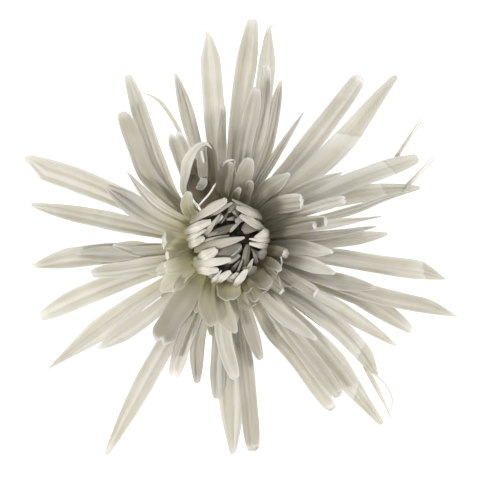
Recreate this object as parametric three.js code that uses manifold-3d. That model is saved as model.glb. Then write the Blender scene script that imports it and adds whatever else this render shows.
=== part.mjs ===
// Cut head of a spider chrysanthemum, face up on a table.
//
// Long strap-like ray florets stand in whorls round a domed receptacle: the outer whorl droops
// until its longest tips touch the table, the middle whorl reaches out level, and short upper
// florets turn up round a heart of incurved young florets. Green bracts clasp the receptacle
// from below, on a short stub of the stem whose cut end also touches the table.
//
// Millimetres, +Z up. The plan coordinates below are measured from the flower's axis. The group
// is moved at the end, so that its origin is the middle of its footprint, on the table.

import * as THREE from 'three';
import { mergeVertices } from 'three/addons/utils/BufferGeometryUtils.js';
import Module from 'manifold-3d';

const wasm = await Module();
wasm.setup();

// ---------------------------------------------------------------- driving dimensions

const GAP = 0.3;                    // clearance between touching pieces

const STEM_RADIUS = 2.7;
const STEM_RIDGES = 7;
const STEM_RIDGE_DEPTH = 0.25;
const STEM_TOP = 6;                 // the stub runs from the table up to here

const CUP_BOTTOM = STEM_TOP + GAP;  // solid floor of the bracts, on the stem
const CUP_TOP = 16;
const CUP_RADIUS = 11.6;
const BRACT_WIDTH = 5.4;
const BRACT_THICKNESS = 1.2;
const BRACTS_PER_ROW = 11;

const SEAT = CUP_TOP + GAP;         // underside of the receptacle
const RECEPTACLE_RADIUS = 12.2;
const RECEPTACLE_TOP = 27.2;
const ROOT_RADIUS = 9.0;            // ray florets start this far from the axis, inside it

const HEART_SEAT = RECEPTACLE_TOP + GAP;
const HEART_TOP = 42.5;
const HEART_CORE_TOP = 37;

const RAY_THICKNESS = 1.2;          // at the midrib; the blade thins to its edges
const RAY_CUP = 0.2;                // how far the edges stand up, as a share of half the width
const RAY_FORM = { rootShare: 0.5, openBy: 0.56 };    // width at the root as a share of the full
const HEART_FORM = { rootShare: 0.56, openBy: 0.62 };  // width, and how far along it is reached
const BRACT_FORM = { rootShare: 0.8, openBy: 0.4 };
const TURN_STEPS = 20;              // facets round the axis in the turned pieces

// Forms of a floret's end: how far along it starts to narrow, how roundly, and the share of the
// width that is left at the tip.
const ENDS = {
  blunt: { start: 0.7, power: 2.2, tip: 0.44 },
  lance: { start: 0.68, power: 1.7, tip: 0.18 },
  point: { start: 0.5, power: 1.5, tip: 0.04 },
  bevel: { start: 0.82, power: 1.5, tip: 0.06 },
  hook: { start: 0.76, power: 1.35, tip: 0.12 },
  nub: { start: 0.86, power: 0.9, tip: 0.24 },
  taper: { start: 0.6, power: 1.25, tip: 0.24 },
  sharp: { start: 0.66, power: 1.2, tip: 0.05 },
  spike: { start: 0.82, power: 1.15, tip: 0.06 },
  curl: { start: 0.74, power: 2.4, tip: 0.5 },
  square: { start: 0.84, power: 2.4, tip: 0.74 },
  notch: { start: 0.8, power: 2, tip: 0.52 },
  tongue: { start: 0.64, power: 1.8, tip: 0.18 },
};

const SEED = 20538;                 // starts the random draw of the rings of short florets
const RING_JITTER = 14;             // degrees, all told, that a ring floret may turn aside

// Where each whorl leaves the receptacle, and how steeply it leaves and ends (degrees up).
const WHORLS = {
  outer: { rootHeight: 18.6, launch: 14, arrival: -30 },
  middle: { rootHeight: 21.2, launch: 34, arrival: -8 },
  upper: { rootHeight: 23.8, launch: 48, arrival: 16 },
  inner: { rootHeight: 25.2, launch: 60, arrival: 40 },
  fan: { rootHeight: 25.4, launch: 44, arrival: 14 },
};

// Ray florets, counter-clockwise from +X:
// whorl, bearing of the root, way points on the plan, tip on the plan, width, height of the tip,
// roll about its own length, form of the end, which edge the tip leans to.
const RAYS = [
  ['outer', 2, [[29.3, 0.6]], [46.7, 2.7], 4.2, 8, 0, 'lance', 0.2],
  ['outer', 5, [[28.2, 2.4]], [43.2, 4.9], 3, 12, 20, 'point', 0],
  ['outer', 18, [[33.5, 8.8], [45.5, 13]], [55.9, 15.7], 2.6, 8, 10, 'point', 0],
  ['outer', 30, [[29.3, 12.7]], [56.5, 16.5], 5.2, 3, 0, 'lance', -0.4],
  ['outer', 38, [[35.5, 17.9]], [56.1, 25.2], 5.4, 4, 0, 'blunt', 0.1],
  ['outer', 52, [[29.6, 25.7]], [49.6, 49.6], 6.9, 0, 0, 'taper', 0.7],
  ['outer', 61, [[22.3, 27.2]], [38, 48.3], 5.8, 5, 0, 'curl', 0.4],
  ['outer', 70, [[14.2, 26.2]], [21.8, 38.1], 2.7, 14, -20, 'point', 0],
  ['outer', 66, [[11.3, 29.1]], [15.3, 47.6], 4, 11, 10, 'lance', -0.7],
  ['outer', 74, [[9.3, 37]], [11.9, 65.5], 5, 2, 0, 'hook', 0.3],
  ['outer', 88, [[3, 37.1]], [7, 66.7], 6, 0, 0, 'blunt', 0.2],
  ['outer', 108, [[-4.1, 35.1]], [-6.2, 63.7], 6, 0, 0, 'spike', 0],
  ['outer', 120, [[-10.1, 30.1]], [-15.6, 49.6], 4.2, 10, 0, 'lance', 0.3],
  ['outer', 147, [[-16.2, 14], [-23.7, 32.2]], [-29.8, 49.7], 4.8, 7, 0, 'blunt', 0],
  ['outer', 154, [[-22.2, 18.2], [-26.7, 27.4]], [-30.7, 37.2], 5.2, 14, 0, 'curl', 0],
  ['outer', 161, [[-34, 14.2]], [-60.7, 25.9], 6.8, 0, 0, 'nub', -0.9],
  ['outer', 176, [[-34.7, 6.5]], [-58.4, 11.3], 5.4, 3, 0, 'lance', -0.3],
  ['outer', 191, [[-34, -2.9]], [-58.9, -7.1], 5.9, 2, 0, 'hook', 0.7],
  ['outer', 203, [[-34.8, -12.3]], [-55.9, -22], 6, 2, 0, 'blunt', 0.6],
  ['outer', 214, [[-29.1, -19]], [-53.7, -37.3], 6.2, 0, 0, 'sharp', 0.1],
  ['outer', 234, [[-22.4, -36.6]], [-36.4, -62.7], 6.2, 0, 0, 'taper', 0.1],
  ['outer', 263, [[-2.8, -32.1]], [-3.5, -45.9], 4.8, 10, 15, 'blunt', 0],
  ['outer', 272, [[0.6, -41]], [1.2, -62.7], 7.4, 0, 0, 'lance', -0.2],
  ['outer', 279, [[5.1, -39]], [7.2, -60.4], 5.2, 3, 0, 'curl', 0.2],
  ['outer', 293, [[10.9, -23.3], [18.9, -32.9]], [30, -48.1], 4.6, 4, 10, 'curl', 0],
  ['outer', 297, [[27, -31]], [45.4, -53.7], 7.4, 0, 0, 'taper', -0.3],
  ['outer', 309, [[30.6, -23.6]], [43.9, -39.5], 5.5, 6, 0, 'bevel', -0.6],
  ['outer', 320, [[29.6, -17.5], [36.2, -21.7]], [49.3, -30.2], 4.3, 5, 0, 'lance', -0.3],
  ['outer', 328, [[34.4, -14.1], [40.2, -16.8]], [54.2, -26], 5.5, 2, 0, 'blunt', -0.4],
  ['outer', 334, [[39.1, -14]], [67.7, -21.9], 4.8, 0, 0, 'bevel', -0.7],
  ['outer', 349, [[35.2, -4.7]], [64.2, -10.7], 5.6, 0, 0, 'bevel', -0.9],

  ['middle', 14, [[27, 5.2]], [44, 7.7], 2.9, 23, 20, 'point', 0],
  ['middle', 28, [[21.2, 9]], [33.7, 12.7], 3.2, 26, 0, 'notch', 0],
  ['middle', 46, [[21.3, 15.4]], [32.7, 20.3], 3.5, 24, 15, 'lance', 0.5],
  ['middle', 76, [[8.8, 32.7]], [10.7, 50.4], 4, 21, 0, 'curl', 0],
  ['middle', 80, [[5.1, 30.7]], [8, 44.8], 4.8, 26, 0, 'blunt', 0.5],
  ['middle', 100, [[-2.1, 26]], [-1.7, 40], 3, 22, 30, 'notch', 0],
  ['middle', 124, [[-12.6, 23.3]], [-15.9, 31.8], 5.6, 25, 10, 'notch', 0],
  ['middle', 152, [[-20.5, 11]], [-29.6, 20.9], 3.4, 22, 0, 'point', 0.4],
  ['middle', 166, [[-22.1, 7.4]], [-35.5, 16.2], 6.2, 16, 0, 'lance', 0.4],
  ['middle', 190, [[-21.1, -2.3]], [-33.4, -0.6], 4.6, 21, 0, 'lance', 0.3],
  ['middle', 186, [[-28.9, -3.1]], [-44.8, -3.3], 4.4, 14, 0, 'blunt', 0.5],
  ['middle', 200, [[-26, -6.7]], [-40, -8.7], 4.5, 17, 0, 'blunt', 0],
  ['middle', 219, [[-24.6, -20.8]], [-37.8, -31], 6.6, 15, 0, 'hook', 0.3],
  ['middle', 236, [[-12.9, -25]], [-16.3, -34.7], 2.8, 22, 20, 'blunt', 0],
  ['middle', 240, [[-12.5, -28]], [-15.9, -38.9], 4.6, 17, 0, 'notch', 0],
  ['middle', 246, [[-8.6, -27]], [-9.2, -40.8], 4, 17, 0, 'blunt', 0],
  ['middle', 257, [[-1.3, -26.8]], [2.1, -39.4], 4.8, 22, 20, 'blunt', 0],
  ['middle', 297, [[22.3, -31.6]], [31.8, -44], 4.8, 12, 0, 'curl', 0],
  ['middle', 336, [[28.1, -10.1]], [42.9, -13], 4.8, 17, 0, 'lance', 0.5],
  ['middle', 343, [[21.3, -5.5]], [30.7, -8.6], 4.1, 25, 0, 'lance', 0],

  ['upper', 20, [[19.3, 5.8]], [27.8, 6.1], 3.3, 30, 0, 'curl', 0],
  ['upper', 12, [[17.4, 3.6]], [24.8, 5], 2.8, 31, 0, 'curl', 0],
  ['upper', 42, [[13.5, 10.5]], [20.7, 11.6], 5, 33, 0, 'curl', 0],
  ['upper', 59, [[10.7, 14.9]], [17.5, 19.9], 4.6, 30, 0, 'lance', 0.5],
  ['upper', 80, [[4, 17.2]], [6.1, 24.4], 4.6, 32, 0, 'blunt', -0.2],
  ['upper', 94, [[-0.2, 16.3]], [0.4, 23.6], 5.6, 32, -10, 'blunt', -0.3],
  ['upper', 118, [[-6.2, 14.7]], [-10.3, 24.4], 5.2, 30, 0, 'lance', 0],
  ['upper', 104, [[-4.1, 19.2]], [-5.9, 27.3], 2.8, 36.5, 30, 'lance', 0],
  ['upper', 148, [[-11.6, 10]], [-11.1, 14.6], 3.6, 39, 0, 'blunt', 0],

  ['fan', 176, [[-13.6, 0.8]], [-18.6, 0.9], 5.2, 31, 0, 'square', 0],
  ['fan', 185, [[-13.6, -3]], [-17.5, -3.4], 2.9, 33, 0, 'curl', 0],
  ['fan', 193, [[-13.6, -5.8]], [-18.3, -7.3], 4.6, 31, 0, 'notch', 0],
  ['fan', 196, [[-16.2, -6.6]], [-20.7, -8.6], 3.6, 27, 0, 'notch', 0],
  ['fan', 200, [[-17.5, -6.9]], [-25.1, -8.2], 3.6, 23, 0, 'hook', 0],
  ['fan', 207, [[-13.7, -8.9]], [-19.4, -13.8], 5.6, 28, 0, 'lance', 0],
  ['fan', 219, [[-11.9, -9.7]], [-15.9, -13.7], 3.2, 31, 0, 'hook', 0],

  ['upper', 230, [[-13.4, -17.5]], [-20.3, -28.9], 7.2, 22, 0, 'notch', 0.2],
  ['upper', 240, [[-6.2, -17.1]], [-4, -23.6], 4.8, 32, 0, 'blunt', 0.3],
  ['upper', 257, [[-1.8, -18.1]], [2.2, -25.6], 5.2, 30, 0, 'lance', 0.4],
  ['upper', 284, [[5.9, -23.3]], [9.2, -33.8], 4, 23, 0, 'blunt', 0],
  ['upper', 299, [[13.6, -19.1]], [25.5, -27.9], 4, 24, 0, 'lance', -0.4],
  ['upper', 328, [[16.2, -9.1]], [25.1, -14.3], 3.4, 28, 0, 'curl', 0],
  ['upper', 318, [[9.6, -9.1]], [15, -13.4], 2.4, 30, 0, 'curl', 0],
  ['upper', 356, [[19.3, -0.9]], [30, -2.4], 4, 28, 0, 'hook', 0.6],

  ['inner', 66, [[5.3, 14.3]], [6.4, 17.9], 3, 36, 0, 'blunt', 0],
  ['inner', 80, [[1.9, 12.8]], [3.2, 15.6], 2.4, 37, 0, 'blunt', 0],
  ['inner', 268, [[0.1, -14.3]], [0.4, -16.6], 7, 31, 0, 'blunt', 0],
  ['inner', 296, [[6.6, -13.9]], [8.1, -16.7], 3.2, 32, 0, 'blunt', 0],
  ['inner', 312, [[10.1, -11.2]], [11.4, -12.9], 5, 34, 0, 'blunt', 0],
  ['inner', 328, [[13.5, -9.5]], [15, -11.9], 2.2, 35, 0, 'point', 0],
  ['inner', 338, [[13.4, -6.6]], [14.6, -7.9], 2.8, 37, 0, 'blunt', 0],
  ['inner', 350, [[13.6, -2.2]], [16.4, -2.9], 3, 35.5, 0, 'curl', 0],
];

// Florets that rolled up into threads, and one that folds back on itself: bearing of the root,
// way points and tip with their heights, width, form of the end.
const STRAYS = [
  [36, [[29.3, 15, 15.5], [46.9, 22.6, 5], [48.6, 24.5, 6], [57.3, 38.2, 9]], 0.8, 'spike'],
  [26, [[31.3, 11.7, 13], [49, 14.4, 4.6], [51, 15.8, 5.6], [60.9, 26.2, 8]], 0.8, 'spike'],
  [125, [[-11, 23, 20], [-14.4, 32.7, 19], [-18.8, 39.8, 17.5], [-22, 42.5, 17],
    [-25.6, 43.7, 17]], 1.3, 'spike'],
  [303, [[34.5, -29.5, 10], [41.5, -39, 7], [48.2, -51.8, 2.5]], 1.5, 'spike'],
  [134, [[-12.4, 14.1, 31], [-12.2, 19.6, 34.5], [-11.5, 23, 36.6], [-10, 25.7, 38.2],
    [-8, 27.6, 38.9], [-6.2, 28, 38.6], [-4.6, 26.7, 37.9]], 3.4, 'sharp'],
];

// Shorter florets that fill the head: one below every second outer floret, and two even rings.
const UNDER_REACH = 0.6;            // of the outer floret it lies below
const UNDER_WIDTH = 0.75;
const UNDER_TIP_HEIGHT = 9;
const HOLLOWS = [[98, 130], [140, 225], [278, 296]];  // bearings that the rings leave open
const RINGS = {
  outer: { count: 14, reach: [23, 30], width: [4.2, 5.2], tipHeight: [15, 17] },
  upper: { count: 13, reach: [19, 24], width: [3.8, 4.8], tipHeight: [25, 27.5] },
};

// Incurved florets of the heart: where each bellies out and where its tip lies on the plan,
// width, the heights of its crest and tip, and form of the end.
const HEART_FLORETS = [
  [-10.3, 7, -0.4, 12.6, 3.7, 39.7, 39.5, 'blunt'],
  [-6.9, 7.6, 1.2, 11.5, 2.3, 38.5, 38.5, 'tongue'],
  [-12.2, 3.6, -4.7, 6.4, 2.9, 40.9, 40.7, 'blunt'],
  [-11.5, 1.5, -6, 4, 2.3, 39.7, 39.5, 'tongue'],
  [-7.2, 2, -2.4, 8, 1.8, 40.4, 40.1, 'tongue'],
  [-4.7, 5.2, -1.5, 7.8, 1.7, 39.3, 39.5, 'blunt'],
  [-11.1, -0.2, -6.6, 1.7, 2.7, 38.9, 39.1, 'blunt'],
  [-8.1, 2, -2.9, 3, 1.7, 38.3, 38.3, 'blunt'],
  [-7.8, 0.2, -1.8, 2, 1.2, 39.4, 39.2, 'tongue'],
  [-3.8, 1.3, 0.3, 2.2, 1, 39, 39, 'blunt'],
  [-4.9, 2.6, 3, 5.4, 2.5, 38.6, 38.6, 'tongue'],
  [0.5, 3.7, 3.7, 6.3, 1.3, 38.9, 39.1, 'tongue'],
  [6.7, 9.1, 1.9, 5.9, 2.5, 38.7, 38.5, 'blunt'],
  [2.4, 12, 0, 8.6, 1.7, 37.9, 38.1, 'blunt'],
  [-2.1, 6, 0.2, 9, 1.3, 37.7, 37.9, 'tongue'],
  [2.2, 7.3, -0.5, 6.7, 1.3, 37.7, 37.9, 'blunt'],
  [8.4, 8.7, 1, 12.4, 1.7, 38.7, 38.7, 'tongue'],
  [9, 7.7, 2.2, 10.4, 2.5, 39.7, 39.5, 'blunt'],
  [9.8, 4.6, 3.3, 8.1, 2.8, 40.2, 39.8, 'blunt'],
  [8.4, 6.6, 4, 3, 4, 38.5, 38.7, 'blunt'],
  [9, 4.2, 5.8, 5.9, 2, 38.7, 38.7, 'tongue'],
  [11.3, 3, 7.4, 1.7, 2.8, 39.3, 39.1, 'tongue'],
  [11.3, 0.8, 5.8, 1.2, 1.7, 39.5, 39.3, 'tongue'],
  [10.8, -0.8, 5.8, 0, 1.8, 38.9, 38.7, 'blunt'],
  [-9.2, -1.8, 4.6, 1.6, 2.9, 41.6, 40.1, 'tongue'],
  [-7.2, -5.4, 3.9, -0.8, 4.5, 40.5, 39.2, 'blunt'],
  [-8.4, -5.1, -3, -1.6, 3.7, 41.7, 42.1, 'blunt'],
  [-9.6, -6.2, 0.9, -4.7, 2.7, 41.7, 40.7, 'blunt'],
  [-8.5, -8.2, -2.5, -7.6, 3.1, 39.6, 39.8, 'blunt'],
  [0.2, -5.5, 3.3, -3.3, 2, 38.5, 38.7, 'blunt'],
  [1, -7.9, 3.2, -4.9, 1.4, 37.9, 38.1, 'tongue'],
  [2.6, -8.2, 3.9, -4.8, 0.9, 38.2, 38.4, 'tongue'],
  [-4.4, -11, -1.9, -7.6, 1.4, 38.9, 39.3, 'tongue'],
  [-3, -11, 0.8, -7.9, 2.5, 39.1, 39.5, 'blunt'],
  [0.7, -10.3, 2.9, -8.3, 1.7, 38.1, 38.5, 'blunt'],
  [2.3, -12.2, 5.4, -7.3, 2.5, 39.5, 40.1, 'blunt'],
  [5.3, -8.8, 7, -4.3, 1.8, 38.5, 38.9, 'tongue'],
  [4.7, -6.8, 5.7, -0.2, 2.5, 37.7, 38.1, 'blunt'],
  [8.1, -5.4, 7, -2.2, 1.3, 37.9, 38.3, 'tongue'],
  [8.8, -3.4, 6.4, -1.5, 1.8, 37.3, 37.5, 'tongue'],
];
const HEART_RING = 11;              // upright florets that close the side of the heart

// ---------------------------------------------------------------- shared helpers

const radians = THREE.MathUtils.degToRad;
const mix = THREE.MathUtils.lerp;

// Park-Miller draw: the same row of numbers from the same seed, each from 0 to 1.
function drawFrom(seed) {
  let state = seed;
  return () => {
    state = (state * 16807) % 2147483647;
    return state / 2147483647;
  };
}

function polar(radius, bearing) {
  return [radius * Math.cos(radians(bearing)), radius * Math.sin(radians(bearing))];
}

function curveThrough(points) {
  const places = points.map(([x, y, z = 0]) => new THREE.Vector3(x, y, z));
  return new THREE.CatmullRomCurve3(places, false, 'catmullrom', 0.5);
}

// A closed solid from a geometry: only positions, shared corners merged, no empty triangles.
function solid(geometry) {
  const bare = geometry.clone();
  bare.deleteAttribute('normal');
  bare.deleteAttribute('uv');
  const merged = mergeVertices(bare, 1e-4);
  const index = merged.index.array;
  const triangles = [];
  for (let i = 0; i < index.length; i += 3) {
    const [a, b, c] = [index[i], index[i + 1], index[i + 2]];
    if (a !== b && b !== c && c !== a) triangles.push(a, b, c);
  }
  const mesh = new wasm.Mesh({
    numProp: 3,
    vertProperties: new Float32Array(merged.attributes.position.array),
    triVerts: new Uint32Array(triangles),
  });
  return new wasm.Manifold(mesh);
}

function join(solids) {
  let whole = solids[0];
  for (const next of solids.slice(1)) whole = whole.add(next);
  return whole;
}

// The largest body of a joined solid: sealed hollows are filled and loose scraps dropped.
function largestBody(joined) {
  const { vertProperties, triVerts } = joined.getMesh();
  const parent = Array.from({ length: vertProperties.length / 3 }, (_, i) => i);
  const find = (i) => {
    while (parent[i] !== i) {
      parent[i] = parent[parent[i]];
      i = parent[i];
    }
    return i;
  };
  for (let i = 0; i < triVerts.length; i += 3) {
    parent[find(triVerts[i])] = find(triVerts[i + 1]);
    parent[find(triVerts[i + 1])] = find(triVerts[i + 2]);
  }
  const bodies = new Map();
  for (let i = 0; i < triVerts.length; i += 3) {
    const body = find(triVerts[i]);
    if (!bodies.has(body)) bodies.set(body, []);
    bodies.get(body).push(triVerts[i], triVerts[i + 1], triVerts[i + 2]);
  }
  const largest = [...bodies.values()].reduce((a, b) => (b.length > a.length ? b : a));
  const geometry = new THREE.BufferGeometry();
  geometry.setAttribute('position', new THREE.BufferAttribute(vertProperties, 3));
  geometry.setIndex(largest);
  return geometry.toNonIndexed();
}

// A turned solid whose profile starts and ends on the axis.
function turned(profile) {
  return new THREE.LatheGeometry(profile.map(([r, z]) => new THREE.Vector2(r, z)), TURN_STEPS)
    .rotateX(Math.PI / 2);
}

// Share of the full width that a floret has opened to at u along it.
function bodyShare(u, { rootShare, openBy }) {
  return mix(rootShare, 1, THREE.MathUtils.smoothstep(u, 0, openBy));
}

// Share of the opened width that is left at u, towards the end.
function narrowing(u, { start, power, tip }) {
  const t = THREE.MathUtils.clamp((u - start) / (1 - start), 0, 1);
  return 1 - (1 - tip) * t ** power;
}

// A closed blade of four corners a ring: left edge, back of the midrib, right edge, top of the
// midrib. Both faces are split along the same diagonals, so they never cross.
function blade({ at, width, thickness, cup, stations, end, form, side, roll = 0, lean = 0 }) {
  const corners = [];
  const tipLean = (width / 2) * (1 - ENDS[end].tip);
  const step = 1e-3;
  for (const u of stations) {
    const centre = at(u);
    const ahead = at(Math.min(u + step, 1)).sub(at(Math.max(u - step, 0))).normalize();
    const across = side ? side.clone() : new THREE.Vector3(0, 0, 1).cross(ahead).normalize();
    const up = ahead.clone().cross(across).normalize();
    const turn = new THREE.Quaternion().setFromAxisAngle(ahead, radians(roll) * u);
    across.applyQuaternion(turn);
    up.applyQuaternion(turn);
    const opened = (width / 2) * bodyShare(u, form);
    const half = opened * narrowing(u, ENDS[end]);
    const outer = THREE.MathUtils.clamp(2 * u - 1, 0, 1);
    centre.addScaledVector(across, lean * (opened - half - tipLean * outer ** 2));
    const rise = cup * half;
    const halfThick = (thickness / 2) * mix(0.6, 1, half / (width / 2));
    corners.push(
      centre.clone().addScaledVector(across, half).addScaledVector(up, rise),
      centre.clone().addScaledVector(up, -halfThick),
      centre.clone().addScaledVector(across, -half).addScaledVector(up, rise),
      centre.clone().addScaledVector(up, halfThick),
    );
  }
  corners.push(at(1));
  const tip = corners.length - 1;
  const index = [0, 1, 3, 1, 2, 3];
  for (let ring = 0; ring < stations.length - 1; ring += 1) {
    const a = ring * 4;
    const b = a + 4;
    index.push(a, b, b + 1, a, b + 1, a + 1);              // left half of the back
    index.push(a + 2, a + 1, b + 1, a + 2, b + 1, b + 2);  // right half of the back
    index.push(a, b + 3, b, a, a + 3, b + 3);              // left half of the face
    index.push(a + 2, b + 2, b + 3, a + 2, b + 3, a + 3);  // right half of the face
  }
  const last = tip - 4;
  index.push(last, tip, last + 1, last + 1, tip, last + 2);
  index.push(last + 2, tip, last + 3, last + 3, tip, last);
  const geometry = new THREE.BufferGeometry().setFromPoints(corners);
  geometry.setIndex(index);
  return geometry;
}

// ---------------------------------------------------------------- ray florets

const RAY_STATIONS = {
  outer: [0, 0.28, 0.56, 0.8, 0.97],
  middle: [0, 0.28, 0.56, 0.8, 0.97],
  upper: [0, 0.36, 0.7, 0.96],
  inner: [0, 0.36, 0.7, 0.96],
  fan: [0, 0.36, 0.7, 0.96],
};
const THREAD_STATIONS = [0, 0.3, 0.5, 0.65, 0.8, 0.92];

// Cubic that leaves `from` and reaches `to` with the given slopes.
function hermite(u, from, leave, to, arrive) {
  const u2 = u * u;
  const u3 = u2 * u;
  return (2 * u3 - 3 * u2 + 1) * from + (u3 - 2 * u2 + u) * leave
    + (3 * u2 - 2 * u3) * to + (u3 - u2) * arrive;
}

function rayBlade([whorl, bearing, way, tip, width, tipHeight, roll, end, lean]) {
  const { rootHeight, launch, arrival } = WHORLS[whorl];
  const plan = curveThrough([polar(ROOT_RADIUS, bearing), ...way, tip]);
  const length = plan.getLength();
  const leave = Math.tan(radians(launch)) * length;
  const arrive = Math.tan(radians(arrival)) * length;
  const at = (u) => plan.getPointAt(u).setZ(hermite(u, rootHeight, leave, tipHeight, arrive));
  return blade({
    at, width, thickness: RAY_THICKNESS, cup: RAY_CUP, stations: RAY_STATIONS[whorl], end,
    form: RAY_FORM, roll, lean,
  });
}

function strayBlade([bearing, way, width, end]) {
  const [x, y] = polar(ROOT_RADIUS, bearing);
  const rootHeight = way[0][2] > WHORLS.upper.rootHeight
    ? WHORLS.upper.rootHeight : WHORLS.outer.rootHeight;
  const curve = curveThrough([[x, y, rootHeight], ...way]);
  const thickness = Math.min(width, RAY_THICKNESS);
  return blade({
    at: (u) => curve.getPointAt(u), width, thickness, cup: 0, stations: THREAD_STATIONS, end,
    form: RAY_FORM,
  });
}

function underRows() {
  const outer = RAYS.filter(([whorl]) => whorl === 'outer');
  return outer.filter((_, i) => i % 2 === 0).map(([whorl, bearing, way, tip, width]) => {
    const plan = curveThrough([polar(ROOT_RADIUS, bearing), ...way, tip]);
    const [half, end] = [UNDER_REACH / 2, UNDER_REACH].map((u) => plan.getPointAt(u).toArray());
    return [whorl, bearing, [half], end, width * UNDER_WIDTH, UNDER_TIP_HEIGHT, 0, 'blunt', 0];
  });
}

function ringRows() {
  const draw = drawFrom(SEED);
  const rows = [];
  for (const [whorl, { count, reach, width, tipHeight }] of Object.entries(RINGS)) {
    for (let i = 0; i < count; i += 1) {
      const bearing = (i * 360) / count + RING_JITTER * (draw() - 0.5);
      const out = mix(...reach, draw());
      const way = polar((ROOT_RADIUS + out) / 2, bearing);
      const row = [whorl, bearing, [way], polar(out, bearing), mix(...width, draw()),
        mix(...tipHeight, draw()), 0, 'lance', 0];
      if (!HOLLOWS.some(([low, high]) => bearing > low && bearing < high)) rows.push(row);
    }
  }
  return rows;
}

function receptacle() {
  return turned([
    [0, SEAT], [RECEPTACLE_RADIUS - 1.2, SEAT], [RECEPTACLE_RADIUS, SEAT + 2],
    [RECEPTACLE_RADIUS, SEAT + 5], [RECEPTACLE_RADIUS - 1.6, SEAT + 8.4],
    [RECEPTACLE_RADIUS - 4, RECEPTACLE_TOP], [0, RECEPTACLE_TOP],
  ]);
}

// The room the heart stands in, which the ray florets are kept clear of.
function heartRoom() {
  return turned([
    [0, HEART_SEAT - GAP / 2], [10, HEART_SEAT - GAP / 2], [13.2, HEART_SEAT + 2],
    [14.4, HEART_SEAT + 5], [14.4, HEART_SEAT + 9.4], [12.8, HEART_TOP - 1],
    [7.5, HEART_TOP + 1.4], [0, HEART_TOP + 2],
  ]);
}

function bloom() {
  const blades = [...RAYS, ...underRows(), ...ringRows()].map(rayBlade);
  const strays = STRAYS.map(strayBlade);
  const whole = join([receptacle(), ...blades, ...strays].map(solid));
  return largestBody(whole.subtract(solid(heartRoom())));
}

// ---------------------------------------------------------------- heart

const HEART_STATIONS = [0, 0.34, 0.56, 0.76, 0.94];

// A floret that stands up from the core, bellies out and curls in over the top.
function heartBlade([x, y, tipX, tipY, width, crest, tipHeight, end]) {
  const reach = Math.hypot(x, y);
  const belly = 33 + (12.5 - reach) * 0.6;
  const points = [
    [x * 0.62, y * 0.62, HEART_SEAT + 1.5],
    [x * 0.97, y * 0.97, mix(HEART_SEAT, belly, 0.62)],
    [x, y, belly],
    [mix(x, tipX, 0.34), mix(y, tipY, 0.34), mix(belly, crest, 0.86)],
    [mix(x, tipX, 0.72), mix(y, tipY, 0.72), crest],
    [tipX, tipY, tipHeight],
  ];
  const curve = curveThrough(points);
  const inward = new THREE.Vector3(tipX - x, tipY - y, 0).normalize();
  const side = new THREE.Vector3(0, 0, 1).cross(inward).negate();
  return blade({
    at: (u) => curve.getPointAt(u), width, thickness: RAY_THICKNESS, cup: -0.3,
    stations: HEART_STATIONS, end, form: HEART_FORM, side,
  });
}

function heart() {
  const core = turned([
    [0, HEART_SEAT], [8.4, HEART_SEAT], [9.6, HEART_SEAT + 2], [9.6, HEART_SEAT + 5],
    [7.6, HEART_CORE_TOP - 2.4], [4.4, HEART_CORE_TOP - 0.6], [0, HEART_CORE_TOP],
  ]);
  const ring = [];
  for (let i = 0; i < HEART_RING; i += 1) {
    const bearing = ((i + 0.5) * 360) / HEART_RING;
    const [x, y] = polar(11, bearing);
    const [tipX, tipY] = polar(8, bearing - 12);
    ring.push([x, y, tipX, tipY, 3.4, 36.6, 36.4, 'tongue']);
  }
  return largestBody(join([core, ...[...HEART_FLORETS, ...ring].map(heartBlade)].map(solid)));
}

// ---------------------------------------------------------------- bracts and stem

function involucre() {
  const cup = turned([
    [0, CUP_BOTTOM], [3.8, CUP_BOTTOM], [5.6, CUP_BOTTOM + 1.2], [9.2, CUP_BOTTOM + 4.6],
    [CUP_RADIUS - 0.2, CUP_TOP - 2.4], [CUP_RADIUS, CUP_TOP], [0, CUP_TOP],
  ]);
  const bracts = [];
  for (const [row, { foot, tip, turn }] of [
    { foot: [4.4, CUP_BOTTOM + 1.0], tip: [11.9, CUP_TOP - 2.6], turn: 0 },
    { foot: [8.2, CUP_BOTTOM + 4.2], tip: [13.1, CUP_TOP - 0.1], turn: 0.5 },
  ].entries()) {
    for (let i = 0; i < BRACTS_PER_ROW; i += 1) {
      const bearing = ((i + turn) * 360) / BRACTS_PER_ROW;
      const place = ([radius, z]) => [...polar(radius, bearing), z];
      const bulge = [mix(foot[0], tip[0], 0.56) + 0.9, mix(foot[1], tip[1], 0.44)];
      const curve = curveThrough([place(foot), place(bulge), place(tip)]);
      bracts.push(blade({
        at: (u) => curve.getPointAt(u), width: BRACT_WIDTH - row, thickness: BRACT_THICKNESS,
        cup: 0.15, stations: [0, 0.45, 0.85], end: 'blunt', form: BRACT_FORM,
      }));
    }
  }
  return largestBody(join([cup, ...bracts].map(solid)));
}

function stem() {
  const corners = STEM_RIDGES * 4;
  const outline = new THREE.Shape();
  for (let i = 0; i < corners; i += 1) {
    const angle = (i / corners) * 2 * Math.PI;
    const radius = STEM_RADIUS + STEM_RIDGE_DEPTH * Math.cos(angle * STEM_RIDGES);
    outline[i === 0 ? 'moveTo' : 'lineTo'](radius * Math.cos(angle), radius * Math.sin(angle));
  }
  return new THREE.ExtrudeGeometry(outline, { depth: STEM_TOP, bevelEnabled: false });
}

// ---------------------------------------------------------------- the flower

function piece(name, geometry, color, roughness) {
  const material = new THREE.MeshStandardMaterial({ color, roughness, metalness: 0 });
  const mesh = new THREE.Mesh(geometry, material);
  mesh.name = name;
  return mesh;
}

const flower = new THREE.Group();
flower.add(
  piece('stem', stem(), 0x7d8a55, 0.6),
  piece('involucre', involucre(), 0x72804c, 0.65),
  piece('bloom', bloom(), 0xd8d0bf, 0.45),
  piece('heart', heart(), 0xded5bd, 0.45),
);

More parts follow.
